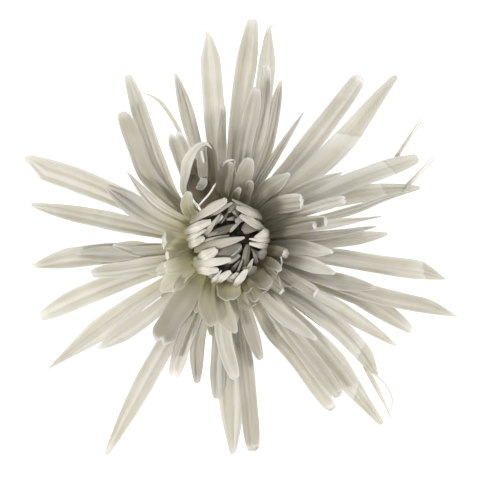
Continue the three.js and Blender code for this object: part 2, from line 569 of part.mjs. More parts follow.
const footprint = new THREE.Box3().setFromObject(flower);
const middle = footprint.getCenter(new THREE.Vector3());
flower.position.set(-middle.x, -middle.y, -footprint.min.z);
flower.updateMatrixWorld(true);

export default flower;
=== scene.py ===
"""Looks of a cut spider chrysanthemum head, lying face up.

Run as a script, it grows the florets, bracts and stub of the flower round the fixed frame, gives
each its finish, and sets the stage. Lengths in the lists are millimetres from the flower's axis;
everything handed to Blender is in metres.
"""

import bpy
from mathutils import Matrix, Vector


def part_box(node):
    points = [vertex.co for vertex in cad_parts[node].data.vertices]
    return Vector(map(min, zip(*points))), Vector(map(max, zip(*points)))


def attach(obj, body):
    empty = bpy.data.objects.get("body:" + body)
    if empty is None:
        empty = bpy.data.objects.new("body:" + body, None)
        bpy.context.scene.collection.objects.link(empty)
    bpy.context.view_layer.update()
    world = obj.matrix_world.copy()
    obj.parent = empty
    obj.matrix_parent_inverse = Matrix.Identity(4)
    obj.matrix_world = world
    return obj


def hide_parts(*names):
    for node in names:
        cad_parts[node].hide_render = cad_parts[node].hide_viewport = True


bl_info = {
    "name": "Spider chrysanthemum head",
    "version": (1, 0, 0),
    "blender": (4, 5, 0),
    "location": "3D Viewport > Sidebar > Flower",
    "description": "Grows the florets, bracts and stub of a spider chrysanthemum head",
    "category": "Object",
}

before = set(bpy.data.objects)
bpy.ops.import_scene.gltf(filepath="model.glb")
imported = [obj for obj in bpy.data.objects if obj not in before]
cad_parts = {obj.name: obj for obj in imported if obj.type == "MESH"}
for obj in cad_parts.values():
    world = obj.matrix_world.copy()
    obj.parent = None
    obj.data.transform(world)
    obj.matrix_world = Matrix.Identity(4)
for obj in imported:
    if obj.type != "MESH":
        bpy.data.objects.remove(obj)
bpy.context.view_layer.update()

import math
from typing import NamedTuple

import bpy
import numpy as np
from bpy.props import FloatProperty, FloatVectorProperty
from mathutils import Vector

BODY = "root"
MM = 0.001

# ------------------------------------------------------------------ the flower's plan

# Height of the root of each whorl's florets, and how steeply they leave and end.
WHORLS = {
    "outer": {"root": 18.6, "launch": 14, "arrival": -30},
    "middle": {"root": 21.2, "launch": 34, "arrival": -8},
    "upper": {"root": 23.8, "launch": 48, "arrival": 16},
    "inner": {"root": 25.2, "launch": 60, "arrival": 40},
    "fan": {"root": 25.4, "launch": 44, "arrival": 14},
}
ROOT_RADIUS = 9.0  # from the flower's axis to the florets' roots
ROOT_SHARE = 0.5  # width at a floret's root, as a share of its full width
OPEN_BY = 0.56  # how far along a floret it reaches its full width

# Forms of a floret's end: how far along it starts to narrow, how roundly, and the share of the
# width that is left at the tip.
ENDS = {
    "blunt": {"start": 0.70, "power": 2.2, "tip": 0.44},
    "lance": {"start": 0.68, "power": 1.7, "tip": 0.18},
    "point": {"start": 0.50, "power": 1.5, "tip": 0.04},
    "bevel": {"start": 0.82, "power": 1.5, "tip": 0.06},
    "hook": {"start": 0.76, "power": 1.35, "tip": 0.12},
    "nub": {"start": 0.86, "power": 0.9, "tip": 0.24},
    "taper": {"start": 0.60, "power": 1.25, "tip": 0.24},
    "sharp": {"start": 0.66, "power": 1.2, "tip": 0.05},
    "spike": {"start": 0.82, "power": 1.15, "tip": 0.06},
    "curl": {"start": 0.74, "power": 2.4, "tip": 0.50},
    "square": {"start": 0.84, "power": 2.4, "tip": 0.74},
    "notch": {"start": 0.80, "power": 2.0, "tip": 0.52},
    "tongue": {"start": 0.64, "power": 1.8, "tip": 0.18},
}


class Ray(NamedTuple):
    """Plan of a ray floret, in mm and degrees."""

    whorl: str
    bearing: float  # of the root
    way: list  # points on the plan between root and tip
    tip: tuple
    width: float
    tip_height: float
    end: str
    lean: float = 0  # which edge the tip leans to, from -1 to 1
    roll: float = 0  # about its own length


# Ray florets, by whorl, in the order in which they are grown.
RAY_TABLE = [
    ("outer", [
        (2, [(29.3, 0.6)], (46.7, 2.7), 4.2, 8, "lance", 0.2),
        (5, [(28.2, 2.4)], (43.2, 4.9), 3, 12, "point", 0, 20),
        (18, [(33.5, 8.8), (45.5, 13)], (55.9, 15.7), 2.6, 8, "point", 0, 10),
        (30, [(29.3, 12.7)], (56.5, 16.5), 5.2, 3, "lance", -0.4),
        (38, [(35.5, 17.9)], (56.1, 25.2), 5.4, 4, "blunt", 0.1),
        (52, [(29.6, 25.7)], (49.6, 49.6), 6.9, 0, "taper", 0.7),
        (61, [(22.3, 27.2)], (38, 48.3), 5.8, 5, "curl", 0.4),
        (70, [(14.2, 26.2)], (21.8, 38.1), 2.7, 14, "point", 0, -20),
        (66, [(11.3, 29.1)], (15.3, 47.6), 4, 11, "lance", -0.7, 10),
        (74, [(9.3, 37)], (11.9, 65.5), 5, 2, "hook", 0.3),
        (88, [(3, 37.1)], (7, 66.7), 6, 0, "blunt", 0.2),
        (108, [(-4.1, 35.1)], (-6.2, 63.7), 6, 0, "spike"),
        (120, [(-10.1, 30.1)], (-15.6, 49.6), 4.2, 10, "lance", 0.3),
        (147, [(-16.2, 14), (-23.7, 32.2)], (-29.8, 49.7), 4.8, 7, "blunt"),
        (154, [(-22.2, 18.2), (-26.7, 27.4)], (-30.7, 37.2), 5.2, 14, "curl"),
        (161, [(-34, 14.2)], (-60.7, 25.9), 6.8, 0, "nub", -0.9),
        (176, [(-34.7, 6.5)], (-58.4, 11.3), 5.4, 3, "lance", -0.3),
        (191, [(-34, -2.9)], (-58.9, -7.1), 5.9, 2, "hook", 0.7),
        (203, [(-34.8, -12.3)], (-55.9, -22), 6, 2, "blunt", 0.6),
        (214, [(-29.1, -19)], (-53.7, -37.3), 6.2, 0, "sharp", 0.1),
        (234, [(-22.4, -36.6)], (-36.4, -62.7), 6.2, 0, "taper", 0.1),
        (263, [(-2.8, -32.1)], (-3.5, -45.9), 4.8, 10, "blunt", 0, 15),
        (272, [(0.6, -41)], (1.2, -62.7), 7.4, 0, "lance", -0.2),
        (279, [(5.1, -39)], (7.2, -60.4), 5.2, 3, "curl", 0.2),
        (293, [(10.9, -23.3), (18.9, -32.9)], (30, -48.1), 4.6, 4, "curl", 0, 10),
        (297, [(27, -31)], (45.4, -53.7), 7.4, 0, "taper", -0.3),
        (309, [(30.6, -23.6)], (43.9, -39.5), 5.5, 6, "bevel", -0.6),
        (320, [(29.6, -17.5), (36.2, -21.7)], (49.3, -30.2), 4.3, 5, "lance", -0.3),
        (328, [(34.4, -14.1), (40.2, -16.8)], (54.2, -26), 5.5, 2, "blunt", -0.4),
        (334, [(39.1, -14)], (67.7, -21.9), 4.8, 0, "bevel", -0.7),
        (349, [(35.2, -4.7)], (64.2, -10.7), 5.6, 0, "bevel", -0.9),
    ]),
    ("middle", [
        (14, [(27, 5.2)], (44, 7.7), 2.9, 23, "point", 0, 20),
        (28, [(21.2, 9)], (33.7, 12.7), 3.2, 26, "notch"),
        (46, [(21.3, 15.4)], (32.7, 20.3), 3.5, 24, "lance", 0.5, 15),
        (76, [(8.8, 32.7)], (10.7, 50.4), 4, 21, "curl"),
        (80, [(5.1, 30.7)], (8, 44.8), 4.8, 26, "blunt", 0.5),
        (100, [(-2.1, 26)], (-1.7, 40), 3, 22, "notch", 0, 30),
        (124, [(-12.6, 23.3)], (-15.9, 31.8), 5.6, 25, "notch", 0, 10),
        (152, [(-20.5, 11)], (-29.6, 20.9), 3.4, 22, "point", 0.4),
        (166, [(-22.1, 7.4)], (-35.5, 16.2), 6.2, 16, "lance", 0.4),
        (190, [(-21.1, -2.3)], (-33.4, -0.6), 4.6, 21, "lance", 0.3),
        (186, [(-28.9, -3.1)], (-44.8, -3.3), 4.4, 14, "blunt", 0.5),
        (200, [(-26, -6.7)], (-40, -8.7), 4.5, 17, "blunt"),
        (219, [(-24.6, -20.8)], (-37.8, -31), 6.6, 15, "hook", 0.3),
        (236, [(-12.9, -25)], (-16.3, -34.7), 2.8, 22, "blunt", 0, 20),
        (240, [(-12.5, -28)], (-15.9, -38.9), 4.6, 17, "notch"),
        (246, [(-8.6, -27)], (-9.2, -40.8), 4, 17, "blunt"),
        (257, [(-1.3, -26.8)], (2.1, -39.4), 4.8, 22, "blunt", 0, 20),
        (297, [(22.3, -31.6)], (31.8, -44), 4.8, 12, "curl"),
        (336, [(28.1, -10.1)], (42.9, -13), 4.8, 17, "lance", 0.5),
        (343, [(21.3, -5.5)], (30.7, -8.6), 4.1, 25, "lance"),
    ]),
    ("upper", [
        (20, [(19.3, 5.8)], (27.8, 6.1), 3.3, 30, "curl"),
        (12, [(17.4, 3.6)], (24.8, 5), 2.8, 31, "curl"),
        (42, [(13.5, 10.5)], (20.7, 11.6), 5, 33, "curl"),
        (59, [(10.7, 14.9)], (17.5, 19.9), 4.6, 30, "lance", 0.5),
        (80, [(4, 17.2)], (6.1, 24.4), 4.6, 32, "blunt", -0.2),
        (94, [(-0.2, 16.3)], (0.4, 23.6), 5.6, 32, "blunt", -0.3, -10),
        (118, [(-6.2, 14.7)], (-10.3, 24.4), 5.2, 30, "lance"),
        (104, [(-4.1, 19.2)], (-5.9, 27.3), 2.8, 36.5, "lance", 0, 30),
        (148, [(-11.6, 10)], (-11.1, 14.6), 3.6, 39, "blunt"),
    ]),
    ("fan", [
        (176, [(-13.6, 0.8)], (-18.6, 0.9), 5.2, 31, "square"),
        (185, [(-13.6, -3)], (-17.5, -3.4), 2.9, 33, "curl"),
        (193, [(-13.6, -5.8)], (-18.3, -7.3), 4.6, 31, "notch"),
        (196, [(-16.2, -6.6)], (-20.7, -8.6), 3.6, 27, "notch"),
        (200, [(-17.5, -6.9)], (-25.1, -8.2), 3.6, 23, "hook"),
        (207, [(-13.7, -8.9)], (-19.4, -13.8), 5.6, 28, "lance"),
        (219, [(-11.9, -9.7)], (-15.9, -13.7), 3.2, 31, "hook"),
    ]),
    ("upper", [
        (230, [(-13.4, -17.5)], (-20.3, -28.9), 7.2, 22, "notch", 0.2),
        (240, [(-6.2, -17.1)], (-4, -23.6), 4.8, 32, "blunt", 0.3),
        (257, [(-1.8, -18.1)], (2.2, -25.6), 5.2, 30, "lance", 0.4),
        (284, [(5.9, -23.3)], (9.2, -33.8), 4, 23, "blunt"),
        (299, [(13.6, -19.1)], (25.5, -27.9), 4, 24, "lance", -0.4),
        (328, [(16.2, -9.1)], (25.1, -14.3), 3.4, 28, "curl"),
        (318, [(9.6, -9.1)], (15, -13.4), 2.4, 30, "curl"),
        (356, [(19.3, -0.9)], (30, -2.4), 4, 28, "hook", 0.6),
    ]),
    ("inner", [
        (66, [(5.3, 14.3)], (6.4, 17.9), 3, 36, "blunt"),
        (80, [(1.9, 12.8)], (3.2, 15.6), 2.4, 37, "blunt"),
        (268, [(0.1, -14.3)], (0.4, -16.6), 7, 31, "blunt"),
        (296, [(6.6, -13.9)], (8.1, -16.7), 3.2, 32, "blunt"),
        (312, [(10.1, -11.2)], (11.4, -12.9), 5, 34, "blunt"),
        (328, [(13.5, -9.5)], (15, -11.9), 2.2, 35, "point"),
        (338, [(13.4, -6.6)], (14.6, -7.9), 2.8, 37, "blunt"),
        (350, [(13.6, -2.2)], (16.4, -2.9), 3, 35.5, "curl"),
    ]),
]
RAYS = [Ray(whorl, *row) for whorl, rows in RAY_TABLE for row in rows]

# Rolled florets, and one that arches over: bearing of the root, way points and tip with their
# heights, width and form of the end.
STRAYS = [
    (36, [(29.3, 15, 15.5), (46.9, 22.6, 5), (48.6, 24.5, 6), (57.3, 38.2, 9)], 0.8, "spike"),
    (26, [(31.3, 11.7, 13), (49, 14.4, 4.6), (51, 15.8, 5.6), (60.9, 26.2, 8)], 0.8, "spike"),
    (125, [(-11, 23, 20), (-14.4, 32.7, 19), (-18.8, 39.8, 17.5), (-22, 42.5, 17),
           (-25.6, 43.7, 17)], 1.3, "spike"),
    (303, [(34.5, -29.5, 10), (41.5, -39, 7), (48.2, -51.8, 2.5)], 1.5, "spike"),
    (134, [(-12.4, 14.1, 31), (-12.2, 19.6, 34.5), (-11.5, 23, 36.6), (-10, 25.7, 38.2),
           (-8, 27.6, 38.9), (-6.2, 28, 38.6), (-4.6, 26.7, 37.9)], 3.4, "sharp"),
]

# Ends of florets that fold back over others: places with heights, width, form of the end, tone, low
# where it is painted shade, and whiteness of the tip, a painted highlight.
FOLDS = [
    ([(-7.2, 27.4, 38.2), (-7.4, 25, 37.4), (-7.3, 21.5, 35.8), (-6.9, 17.4, 34)],
     2.9, "blunt", 0.6, 0),
    ([(-6.9, 18.4, 35.4), (-7.2, 16.9, 35.4), (-8, 16, 35.2), (-9.1, 15.5, 35)],
     2.5, "sharp", 0.95, 1.4),
    ([(-6.2, 27.8, 37.9), (-5, 26, 37.2), (-4.5, 22, 35.2), (-3.8, 16.5, 32.2)],
     2.9, "blunt", 0.08, 0),
    ([(-4.6, 11.2, 29), (-8.3, 15.5, 30.6), (-11.2, 19.6, 31.4)], 6.4, "lance", 0, 0),
    ([(12.3, -23, 19), (16.1, -29.1, 17.2), (24.7, -34.2, 14.6),
      (30, -37.8, 12.8), (33, -42.7, 10.5)], 1.6, "taper", 1, 1.4),
]

# Thin slivers and rolled rims of florets, painted white as highlights: places with heights, width,
# and whiteness of the painted highlight from 1 to 2.
SLIVERS = [
    ([(-8.7, 10.1, 39.6), (-7.2, 11.8, 40.4), (-5.3, 13.9, 41), (-3.5, 16.8, 41)], 0.4, 2),
    ([(-8.7, 10.1, 39.6), (-9.1, 11, 40.4), (-9.5, 11.9, 40.6)], 0.3, 1.6),
    ([(42.4, -38, 8), (45.9, -41.4, 7.6), (48, -45.4, 6.4), (47.9, -50, 4.4)], 0.5, 1),
    ([(44, -43.4, 7), (46.3, -48, 5.6), (47.9, -52, 4)], 0.6, 1),
    ([(3.7, -0.8, 41.2), (2.5, -2.3, 41.6), (0.9, -3.6, 41.4)], 0.26, 1.5),
    ([(14.9, -3.8, 36.2), (15.1, -5.6, 35.6), (14.5, -7.4, 35), (13.7, -8.8, 34)], 0.3, 1.6),
    ([(12.4, -9, 36), (12.7, -11.3, 35.6), (11.1, -13.2, 35), (9.6, -14.2, 34.4)], 0.26, 1.3),
    ([(4.3, -14.1, 33.4), (5.6, -13.9, 34), (6.7, -12.6, 34.6)], 0.26, 1.4),
    ([(3.2, -17, 29), (4.7, -18.7, 29.6), (6.3, -18.4, 29.8), (7.9, -17.2, 30)], 0.28, 1.3),
    ([(-7.6, 26, 38.8), (-7.3, 24.5, 38.4), (-6.9, 22.6, 37.6)], 0.5, 2),
    ([(-1.7, 21.9, 32.8), (-0.9, 23, 33), (0.4, 23.6, 33), (1.7, 23.6, 32.8)], 0.4, 1.6),
    ([(1.9, 23.4, 33), (0.6, 17.6, 31.6), (0, 13.6, 29)], 0.4, 1.25),
    ([(49, 24, 6.6), (53.4, 31, 7.8), (57.7, 37.4, 9)], 0.35, 1),
    ([(51.5, 15.2, 6.2), (56.6, 20.6, 7.2), (61.4, 25.7, 8)], 0.35, 1),
    ([(-19.1, -15.2, 27.4), (-22.4, -17.6, 25), (-25.1, -19.7, 22.5)], 0.45, 2),
]

# Florets below the outer ones: shares of their length and width, and the height of their tips.
UNDER_REACH = 0.6
UNDER_WIDTH = 0.75
UNDER_TIP_HEIGHT = 9

# Rings of short florets that fill the head, the bearings that they leave open, and how far a
# floret may stand from its even place.
RING_SEED = 20538
HOLLOWS = ((98, 130), (140, 225), (278, 296))
RING_JITTER = 14
RINGS = {
    "outer": {"count": 14, "reach": (23, 30), "width": (4.2, 5.2), "height": (15, 17)},
    "upper": {"count": 13, "reach": (19, 24), "width": (3.8, 4.8), "height": (25, 27.5)},
}


class HeartFloret(NamedTuple):
    """Plan of an incurved floret of the heart, in mm."""

    x: float  # where it bellies out
    y: float
    tip_x: float
    tip_y: float
    width: float
    crest: float  # height of its crest
    tip_height: float
    painted_lightness: float  # painted shade: from 0 for the ones deep down in the heart's shade to 1
    end: str = "blunt"


HEART_FLORETS = [HeartFloret(*row) for row in (
    (-10.3, 7, -0.4, 12.6, 3.7, 39.7, 39.5, 0.78),
    (-6.9, 7.6, 1.2, 11.5, 2.3, 38.5, 38.5, 0.5, "tongue"),
    (-12.2, 3.6, -4.7, 6.4, 2.9, 40.9, 40.7, 0.95),
    (-11.5, 1.5, -6, 4, 2.3, 39.7, 39.5, 0.86, "tongue"),
    (-7.2, 2, -2.4, 8, 1.8, 40.4, 40.1, 0.62, "tongue"),
    (-4.7, 5.2, -1.5, 7.8, 1.7, 39.3, 39.5, 0.75),
    (-11.1, -0.2, -6.6, 1.7, 2.7, 38.9, 39.1, 0.82),
    (-8.1, 2, -2.9, 3, 1.7, 38.3, 38.3, 0.35),
    (-7.8, 0.2, -1.8, 2, 1.2, 39.4, 39.2, 0.62, "tongue"),
    (-3.8, 1.3, 0.3, 2.2, 1, 39, 39, 0.6),
    (-4.9, 2.6, 3, 5.4, 2.5, 38.6, 38.6, 0.16, "tongue"),
    (0.5, 3.7, 3.7, 6.3, 1.3, 38.9, 39.1, 0.55, "tongue"),
    (6.7, 9.1, 1.9, 5.9, 2.5, 38.7, 38.5, 0.52),
    (2.4, 12, 0, 8.6, 1.7, 37.9, 38.1, 0.36),
    (-2.1, 6, 0.2, 9, 1.3, 37.7, 37.9, 0.3, "tongue"),
    (2.2, 7.3, -0.5, 6.7, 1.3, 37.7, 37.9, 0.4),
    (8.4, 8.7, 1, 12.4, 1.7, 38.7, 38.7, 0.4, "tongue"),
    (9, 7.7, 2.2, 10.4, 2.5, 39.7, 39.5, 0.66),
    (9.8, 4.6, 3.3, 8.1, 2.8, 40.2, 39.8, 0.72),
    (8.4, 6.6, 4, 3, 4, 38.5, 38.7, 0.36),
    (9, 4.2, 5.8, 5.9, 2, 38.7, 38.7, 0.5, "tongue"),
    (11.3, 3, 7.4, 1.7, 2.8, 39.3, 39.1, 0.92, "tongue"),
    (11.3, 0.8, 5.8, 1.2, 1.7, 39.5, 39.3, 0.9, "tongue"),
    (10.8, -0.8, 5.8, 0, 1.8, 38.9, 38.7, 0.85),
    (-9.2, -1.8, 4.6, 1.6, 2.9, 41.6, 40.1, 0.66, "tongue"),
    (-7.2, -5.4, 3.9, -0.8, 4.5, 40.5, 39.2, 0.24),
    (-8.4, -5.1, -3, -1.6, 3.7, 41.7, 42.1, 1),
    (-9.6, -6.2, 0.9, -4.7, 2.7, 41.7, 40.7, 1),
    (-8.5, -8.2, -2.5, -7.6, 3.1, 39.6, 39.8, 0.95),
    (0.2, -5.5, 3.3, -3.3, 2, 38.5, 38.7, 0.5),
    (1, -7.9, 3.2, -4.9, 1.4, 37.9, 38.1, 0.28, "tongue"),
    (2.6, -8.2, 3.9, -4.8, 0.9, 38.2, 38.4, 0.5, "tongue"),
    (-4.4, -11, -1.9, -7.6, 1.4, 38.9, 39.3, 0.92, "tongue"),
    (-3, -11, 0.8, -7.9, 2.5, 39.1, 39.5, 0.92),
    (0.7, -10.3, 2.9, -8.3, 1.7, 38.1, 38.5, 0.8),
    (2.3, -12.2, 5.4, -7.3, 2.5, 39.5, 40.1, 0.9),
    (5.3, -8.8, 7, -4.3, 1.8, 38.5, 38.9, 0.6, "tongue"),
    (4.7, -6.8, 5.7, -0.2, 2.5, 37.7, 38.1, 0.2),
    (8.1, -5.4, 7, -2.2, 1.3, 37.9, 38.3, 0.3, "tongue"),
    (8.8, -3.4, 6.4, -1.5, 1.8, 37.3, 37.5, 0.12, "tongue"),
)]
HEART_SEAT = 27.5  # height of the heart's roots
HEART_CENTRE = 29.0  # height of the point that the heart's florets stand round

# Low florets under the others of the heart: how many, where their bellies and tips stand, and the
# rest of their plan.
HEART_RING = {
    "count": 11, "belly": 11, "tip": 8, "twist": 12, "looks": (3.4, 36.6, 36.4, 0.35, "tongue"),
}

# ------------------------------------------------------------------ settings


def measure(name, description, metres):
    return FloatProperty(name=name, description=description, default=metres, unit="LENGTH")


def tint(name, description, colour):
    return FloatVectorProperty(
        name=name, description=description, default=colour, subtype="COLOR", size=3,
        min=0, max=1,
    )


class FlowerSizes(bpy.types.PropertyGroup):
    floret_thickness: measure("Floret thickness", "Thickness of a ray floret's blade", 0.30 * MM)
    heart_thickness: measure("Heart thickness", "Thickness of a floret of the heart", 0.32 * MM)
    rib_height: measure("Rib height", "How far the ribs of an outer floret stand up", 0.30 * MM)
    bract_thickness: measure("Bract thickness", "Thickness of a green bract", 0.45 * MM)
    camera_height: measure("Camera height", "Height of the camera above the table", 0.75)
    framed_width: measure("Framed width", "Width of what the camera frames at the table", 0.1425)


class FlowerColours(bpy.types.PropertyGroup):
    petal: tint("Petal", "Middle of a ray floret", (0.745, 0.717, 0.638))
    # pale tips, and painted highlights on edges and facets and at creases and folds
    pale: tint("Pale petal", "Tips and edges of a ray floret", (0.92, 0.907, 0.866))
    # veins, and painted shade on facets, along creases and past folded tips
    vein: tint("Vein", "Lengthwise streaks of a ray floret", (0.53, 0.502, 0.42))
    throat: tint("Throat", "Green at the root of a floret", (0.56, 0.54, 0.26))
    lit_throat: tint("Lit throat", "Root that light falls on past the heart", (0.90, 0.85, 0.45))
    deep_green: tint("Deep green", "Green where florets meet the heart", (0.42, 0.43, 0.05))
    # painted shade at the roots of the florets and in streaks between them, and in streaks on the
    # heart
    shade: tint("Shade", "Root of a floret away from the green side", (0.132, 0.112, 0.058))
    heart: tint("Heart", "Backs of the incurved florets", (0.78, 0.738, 0.645))
    # painted shade on the heart's florets, towards the root and on the deeper ones, and in the
    # receptacle's pits
    heart_painted_shade: tint("Deep heart", "Sides and roots of the incurved florets", (0.11, 0.10, 0.072))
    # near-black painted shade at the bottom of the heart's hollows, darker between the cells
    hollow: tint("Hollow", "Bottom of the heart's hollows", (0.15, 0.135, 0.085))
    hollow_shade_deep: tint("Deep hollow", "Cracks in that bottom", (0.05, 0.045, 0.03))
    bract: tint("Bract", "Green of the bracts", (0.10, 0.15, 0.05))
    bract_edge: tint("Bract edge", "Papery margin of the bracts", (0.42, 0.38, 0.24))
    stem: tint("Stem", "Skin of the stem", (0.13, 0.19, 0.06))
    pith: tint("Pith", "Cut face of the stem", (0.55, 0.58, 0.36))
    floor: tint("Floor", "Table under the flower", (0.90, 0.90, 0.89))


# ------------------------------------------------------------------ numbers and curves


def draw_from(seed):
    """Park-Miller draw: the same row of numbers from the same seed, each from 0 to 1."""
    state = seed

    def draw(low=0.0, high=1.0):
        nonlocal state
        state = (state * 16807) % 2147483647
        return low + (high - low) * state / 2147483647

    return draw


def mix(low, high, share):
    return low + (high - low) * share


def ramp(value, low, high):
    """Smooth step from 0 at low to 1 at high."""
    t = np.clip((np.asarray(value, float) - low) / (high - low), 0, 1)
    return t * t * (3 - 2 * t)


def polar(radius, bearing):
    angle = math.radians(bearing)
    return radius * math.cos(angle), radius * math.sin(angle)


CURVE_STEPS = 400
SPINE_STEPS = 140


def curve_through(points):
    """Evenly spaced places on a smooth curve through the points, and the curve's length."""
    knots = np.array(points, float)
    ends = np.vstack([2 * knots[0] - knots[1], knots, 2 * knots[-1] - knots[-2]])
    t = np.linspace(0, len(knots) - 1, CURVE_STEPS)
    k = np.minimum(t.astype(int), len(knots) - 2)
    w = (t - k)[:, None]
    before, start, stop, after = (ends[k + i] for i in range(4))
    raw = 0.5 * (
        2 * start + (stop - before) * w
        + (2 * before - 5 * start + 4 * stop - after) * w**2
        + (3 * start - before - 3 * stop + after) * w**3
    )
    steps = np.linalg.norm(np.diff(raw, axis=0), axis=1)
    along = np.concatenate([[0], np.cumsum(steps)])
    even = np.linspace(0, along[-1], SPINE_STEPS)
    places = np.column_stack([np.interp(even, along, raw[:, i]) for i in range(raw.shape[1])])
    return places, along[-1]


def hermite(u, start, leave, stop, arrive):
    """Cubic from start to stop that leaves and arrives with the given slopes."""
    return (
        (2 * u**3 - 3 * u**2 + 1) * start + (u**3 - 2 * u**2 + u) * leave
        + (3 * u**2 - 2 * u**3) * stop + (u**3 - u**2) * arrive
    )


def unit(vectors):
    return vectors / np.linalg.norm(vectors, axis=1, keepdims=True)


BEND_EASE = 0.3  # how far past the tip a bend would come to its full angle


class Spine:
    """The middle line of a floret, with the directions ahead, across and up along it."""

    def __init__(self, places, side=None, roll=0.0):
        self.u = np.linspace(0, 1, len(places))
        self.places = np.array(places, float)
        self.ahead = unit(np.gradient(self.places, axis=0))
        if side is None:
            self.across = unit(np.cross((0, 0, 1), self.ahead))
        else:
            self.across = side
        self.up = unit(np.cross(self.ahead, self.across))
        self.roll(np.radians(roll) * self.u)
        self.length = float(np.linalg.norm(np.diff(self.places, axis=0), axis=1).sum())

    def roll(self, angles):
        cos, sin = np.cos(angles)[:, None], np.sin(angles)[:, None]
        across, up = self.across, self.up
        self.across, self.up = across * cos + up * sin, up * cos - across * sin

    def bend(self, start, degrees, towards):
        """Bends the end past start by an angle, towards "up" or "across"."""
        angles = np.radians(degrees) * ramp(self.u, start, 1.0 + (1.0 - start) * BEND_EASE)
        cos, sin = np.cos(angles)[:, None], np.sin(angles)[:, None]
        other = getattr(self, towards)
        ahead = self.ahead
        self.ahead = ahead * cos + other * sin
        setattr(self, towards, other * cos - ahead * sin)
        step = self.length / (len(self.u) - 1)
        steps = (self.ahead[1:] + self.ahead[:-1]) / 2 * step
        first = int(start * (len(self.u) - 1))
        self.places[first + 1:] = self.places[first] + np.cumsum(steps[first:], axis=0)

    def at(self, name, u):
        values = getattr(self, name)
        return np.column_stack([np.interp(u, self.u, values[:, i]) for i in range(3)])


# ------------------------------------------------------------------ florets


def body_share(u, form):
    """Share of the full width that the floret has opened to at u."""
    return mix(form["root_share"], 1, ramp(u, 0, form["open_by"]))


def narrowing(u, end):
    """Share of the opened width that is left at u, towards the end."""
    facts = ENDS[end]
    t = np.clip((u - facts["start"]) / (1 - facts["start"]), 0, 1)
    return 1 - (1 - facts["tip"]) * t ** facts["power"]


TIP_ROUNDNESS = 1.15
NEARLY_ALL = 0.985  # of the half circle that rounds a tip off
DENTS = {"notch": (0.4, 0.24), "blunt": (0.16, 0.35), "curl": (0.16, 0.35)}  # depth, width
RAGGED = {"depth": 0.09, "teeth": 7, "shift": 20}


def end_line(v, end, half_by_length, lean):
    """How far along the floret its outline ends, at v from one edge (-1) to the other (1)."""
    tip = ENDS[end]["tip"]
    line = 1 - TIP_ROUNDNESS * tip * half_by_length * (1 - np.sqrt(1 - (NEARLY_ALL * v) ** 2))
    if end in DENTS:
        depth, width = DENTS[end]
        line -= depth * half_by_length * np.exp(-(((v - lean) / width) ** 2))
    elif end == "square":
        teeth = np.sin(v * RAGGED["teeth"] + lean * RAGGED["shift"])
        line -= RAGGED["depth"] * half_by_length * (1 + teeth)
    return line


def new_object(name):
    """The active object, renamed together with its mesh."""
    made = bpy.context.object
    made.name = name
    made.data.name = name
    return made


def deselect():
    bpy.ops.object.select_all(action="DESELECT")


ATTRIBUTES = ("tone", "green", "gleam")  # of each floret, for its finish

# Rows and columns of the flat strip that a piece's blades are made from, and the seed of what
# varies from blade to blade.
BLADES = {
    "outer_florets": (44, 16, 101),
    "middle_florets": (40, 16, 202),
    "upper_florets": (34, 14, 303),
    "stray_florets": (54, 8, 404),
    "heart_florets": (30, 12, 505),
    "bracts": (18, 10, 606),
}


def start_blades(piece):
    """A flat strip, its width along X and its length along Y, that a piece's blades are copied
    from, and their draw."""
    rows, columns, seed = BLADES[piece]
    deselect()
    bpy.ops.mesh.primitive_grid_add(x_subdivisions=columns, y_subdivisions=rows, size=2)
    blank = new_object("floret_blank")
    for name in ATTRIBUTES:
        blank.data.attributes.new(name, "FLOAT", "POINT")
    body = blank.vertex_groups.new(name="body")
    for corner in blank.data.vertices:
        body.add([corner.index], 1 - abs(corner.co.x) ** 4, "REPLACE")
    return blank, draw_from(seed)


def coordinates(thing):
    co = np.empty(len(thing.data.vertices) * 3)
    thing.data.vertices.foreach_get("co", co)
    return co.reshape(-1, 3)


def axis_of_flower():
    low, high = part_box("stem")
    return (low.x + high.x) / 2 / MM, (low.y + high.y) / 2 / MM


AXIS = axis_of_flower()


def copy_of(blank, places, *looks):
    """A copy of the blank with a mesh of its own, its corners moved to places (mm)."""
    made = blank.copy()
    made.data = blank.data.copy()
    bpy.context.collection.objects.link(made)
    metres = np.column_stack([places[:, 0] + AXIS[0], places[:, 1] + AXIS[1], places[:, 2]]) * MM
    made.data.vertices.foreach_set("co", metres.ravel())
    for name, value in zip(ATTRIBUTES, looks):
        made.data.attributes[name].data.foreach_set("value", np.full(len(places), value))
    made.data.update()
    return made


LOWEST = 0.3  # no floret's middle line comes nearer the table than this
LENGTHWISE_EASE = 1.3  # rows of a blade lie closer together towards its tip by this power

# What varies from floret to floret: the ranges that its values are drawn from.
TIP_SHIFT = (-0.3, 0.3)  # of the dent in its tip, as a share of half its width
EXTRA_LEAN = (-0.15, 0.15)
EXTRA_ARC = (-6, 6)
RIBS = (1.6, 3.4)
RIB_SHIFT = (-0.2, 0.2)
CREASE_PLACE = (-0.45, 0.45)
GROOVE_DEPTH = (0.4, 1.8)
FRILL_SIDE = (-0.5, 0.5)
WAVES = {  # along its length, in radians
    "edge": (7, 13), "rib": (5, 9), "crease": (2, 5), "frill": (9, 16), "fine_frill": (19, 27),
    "height": (6, 11),
}
WAVE_START = (0, 6)
EDGE_WAVE = 0.05  # share of its width
RIB_WAVE = 0.25  # share of its ribs' height
CREASE_WAVE = 0.15
CREASE_WIDTH = 0.16


def wave(u, draw, what):
    return np.sin(u * draw(*WAVES[what]) + draw(*WAVE_START))


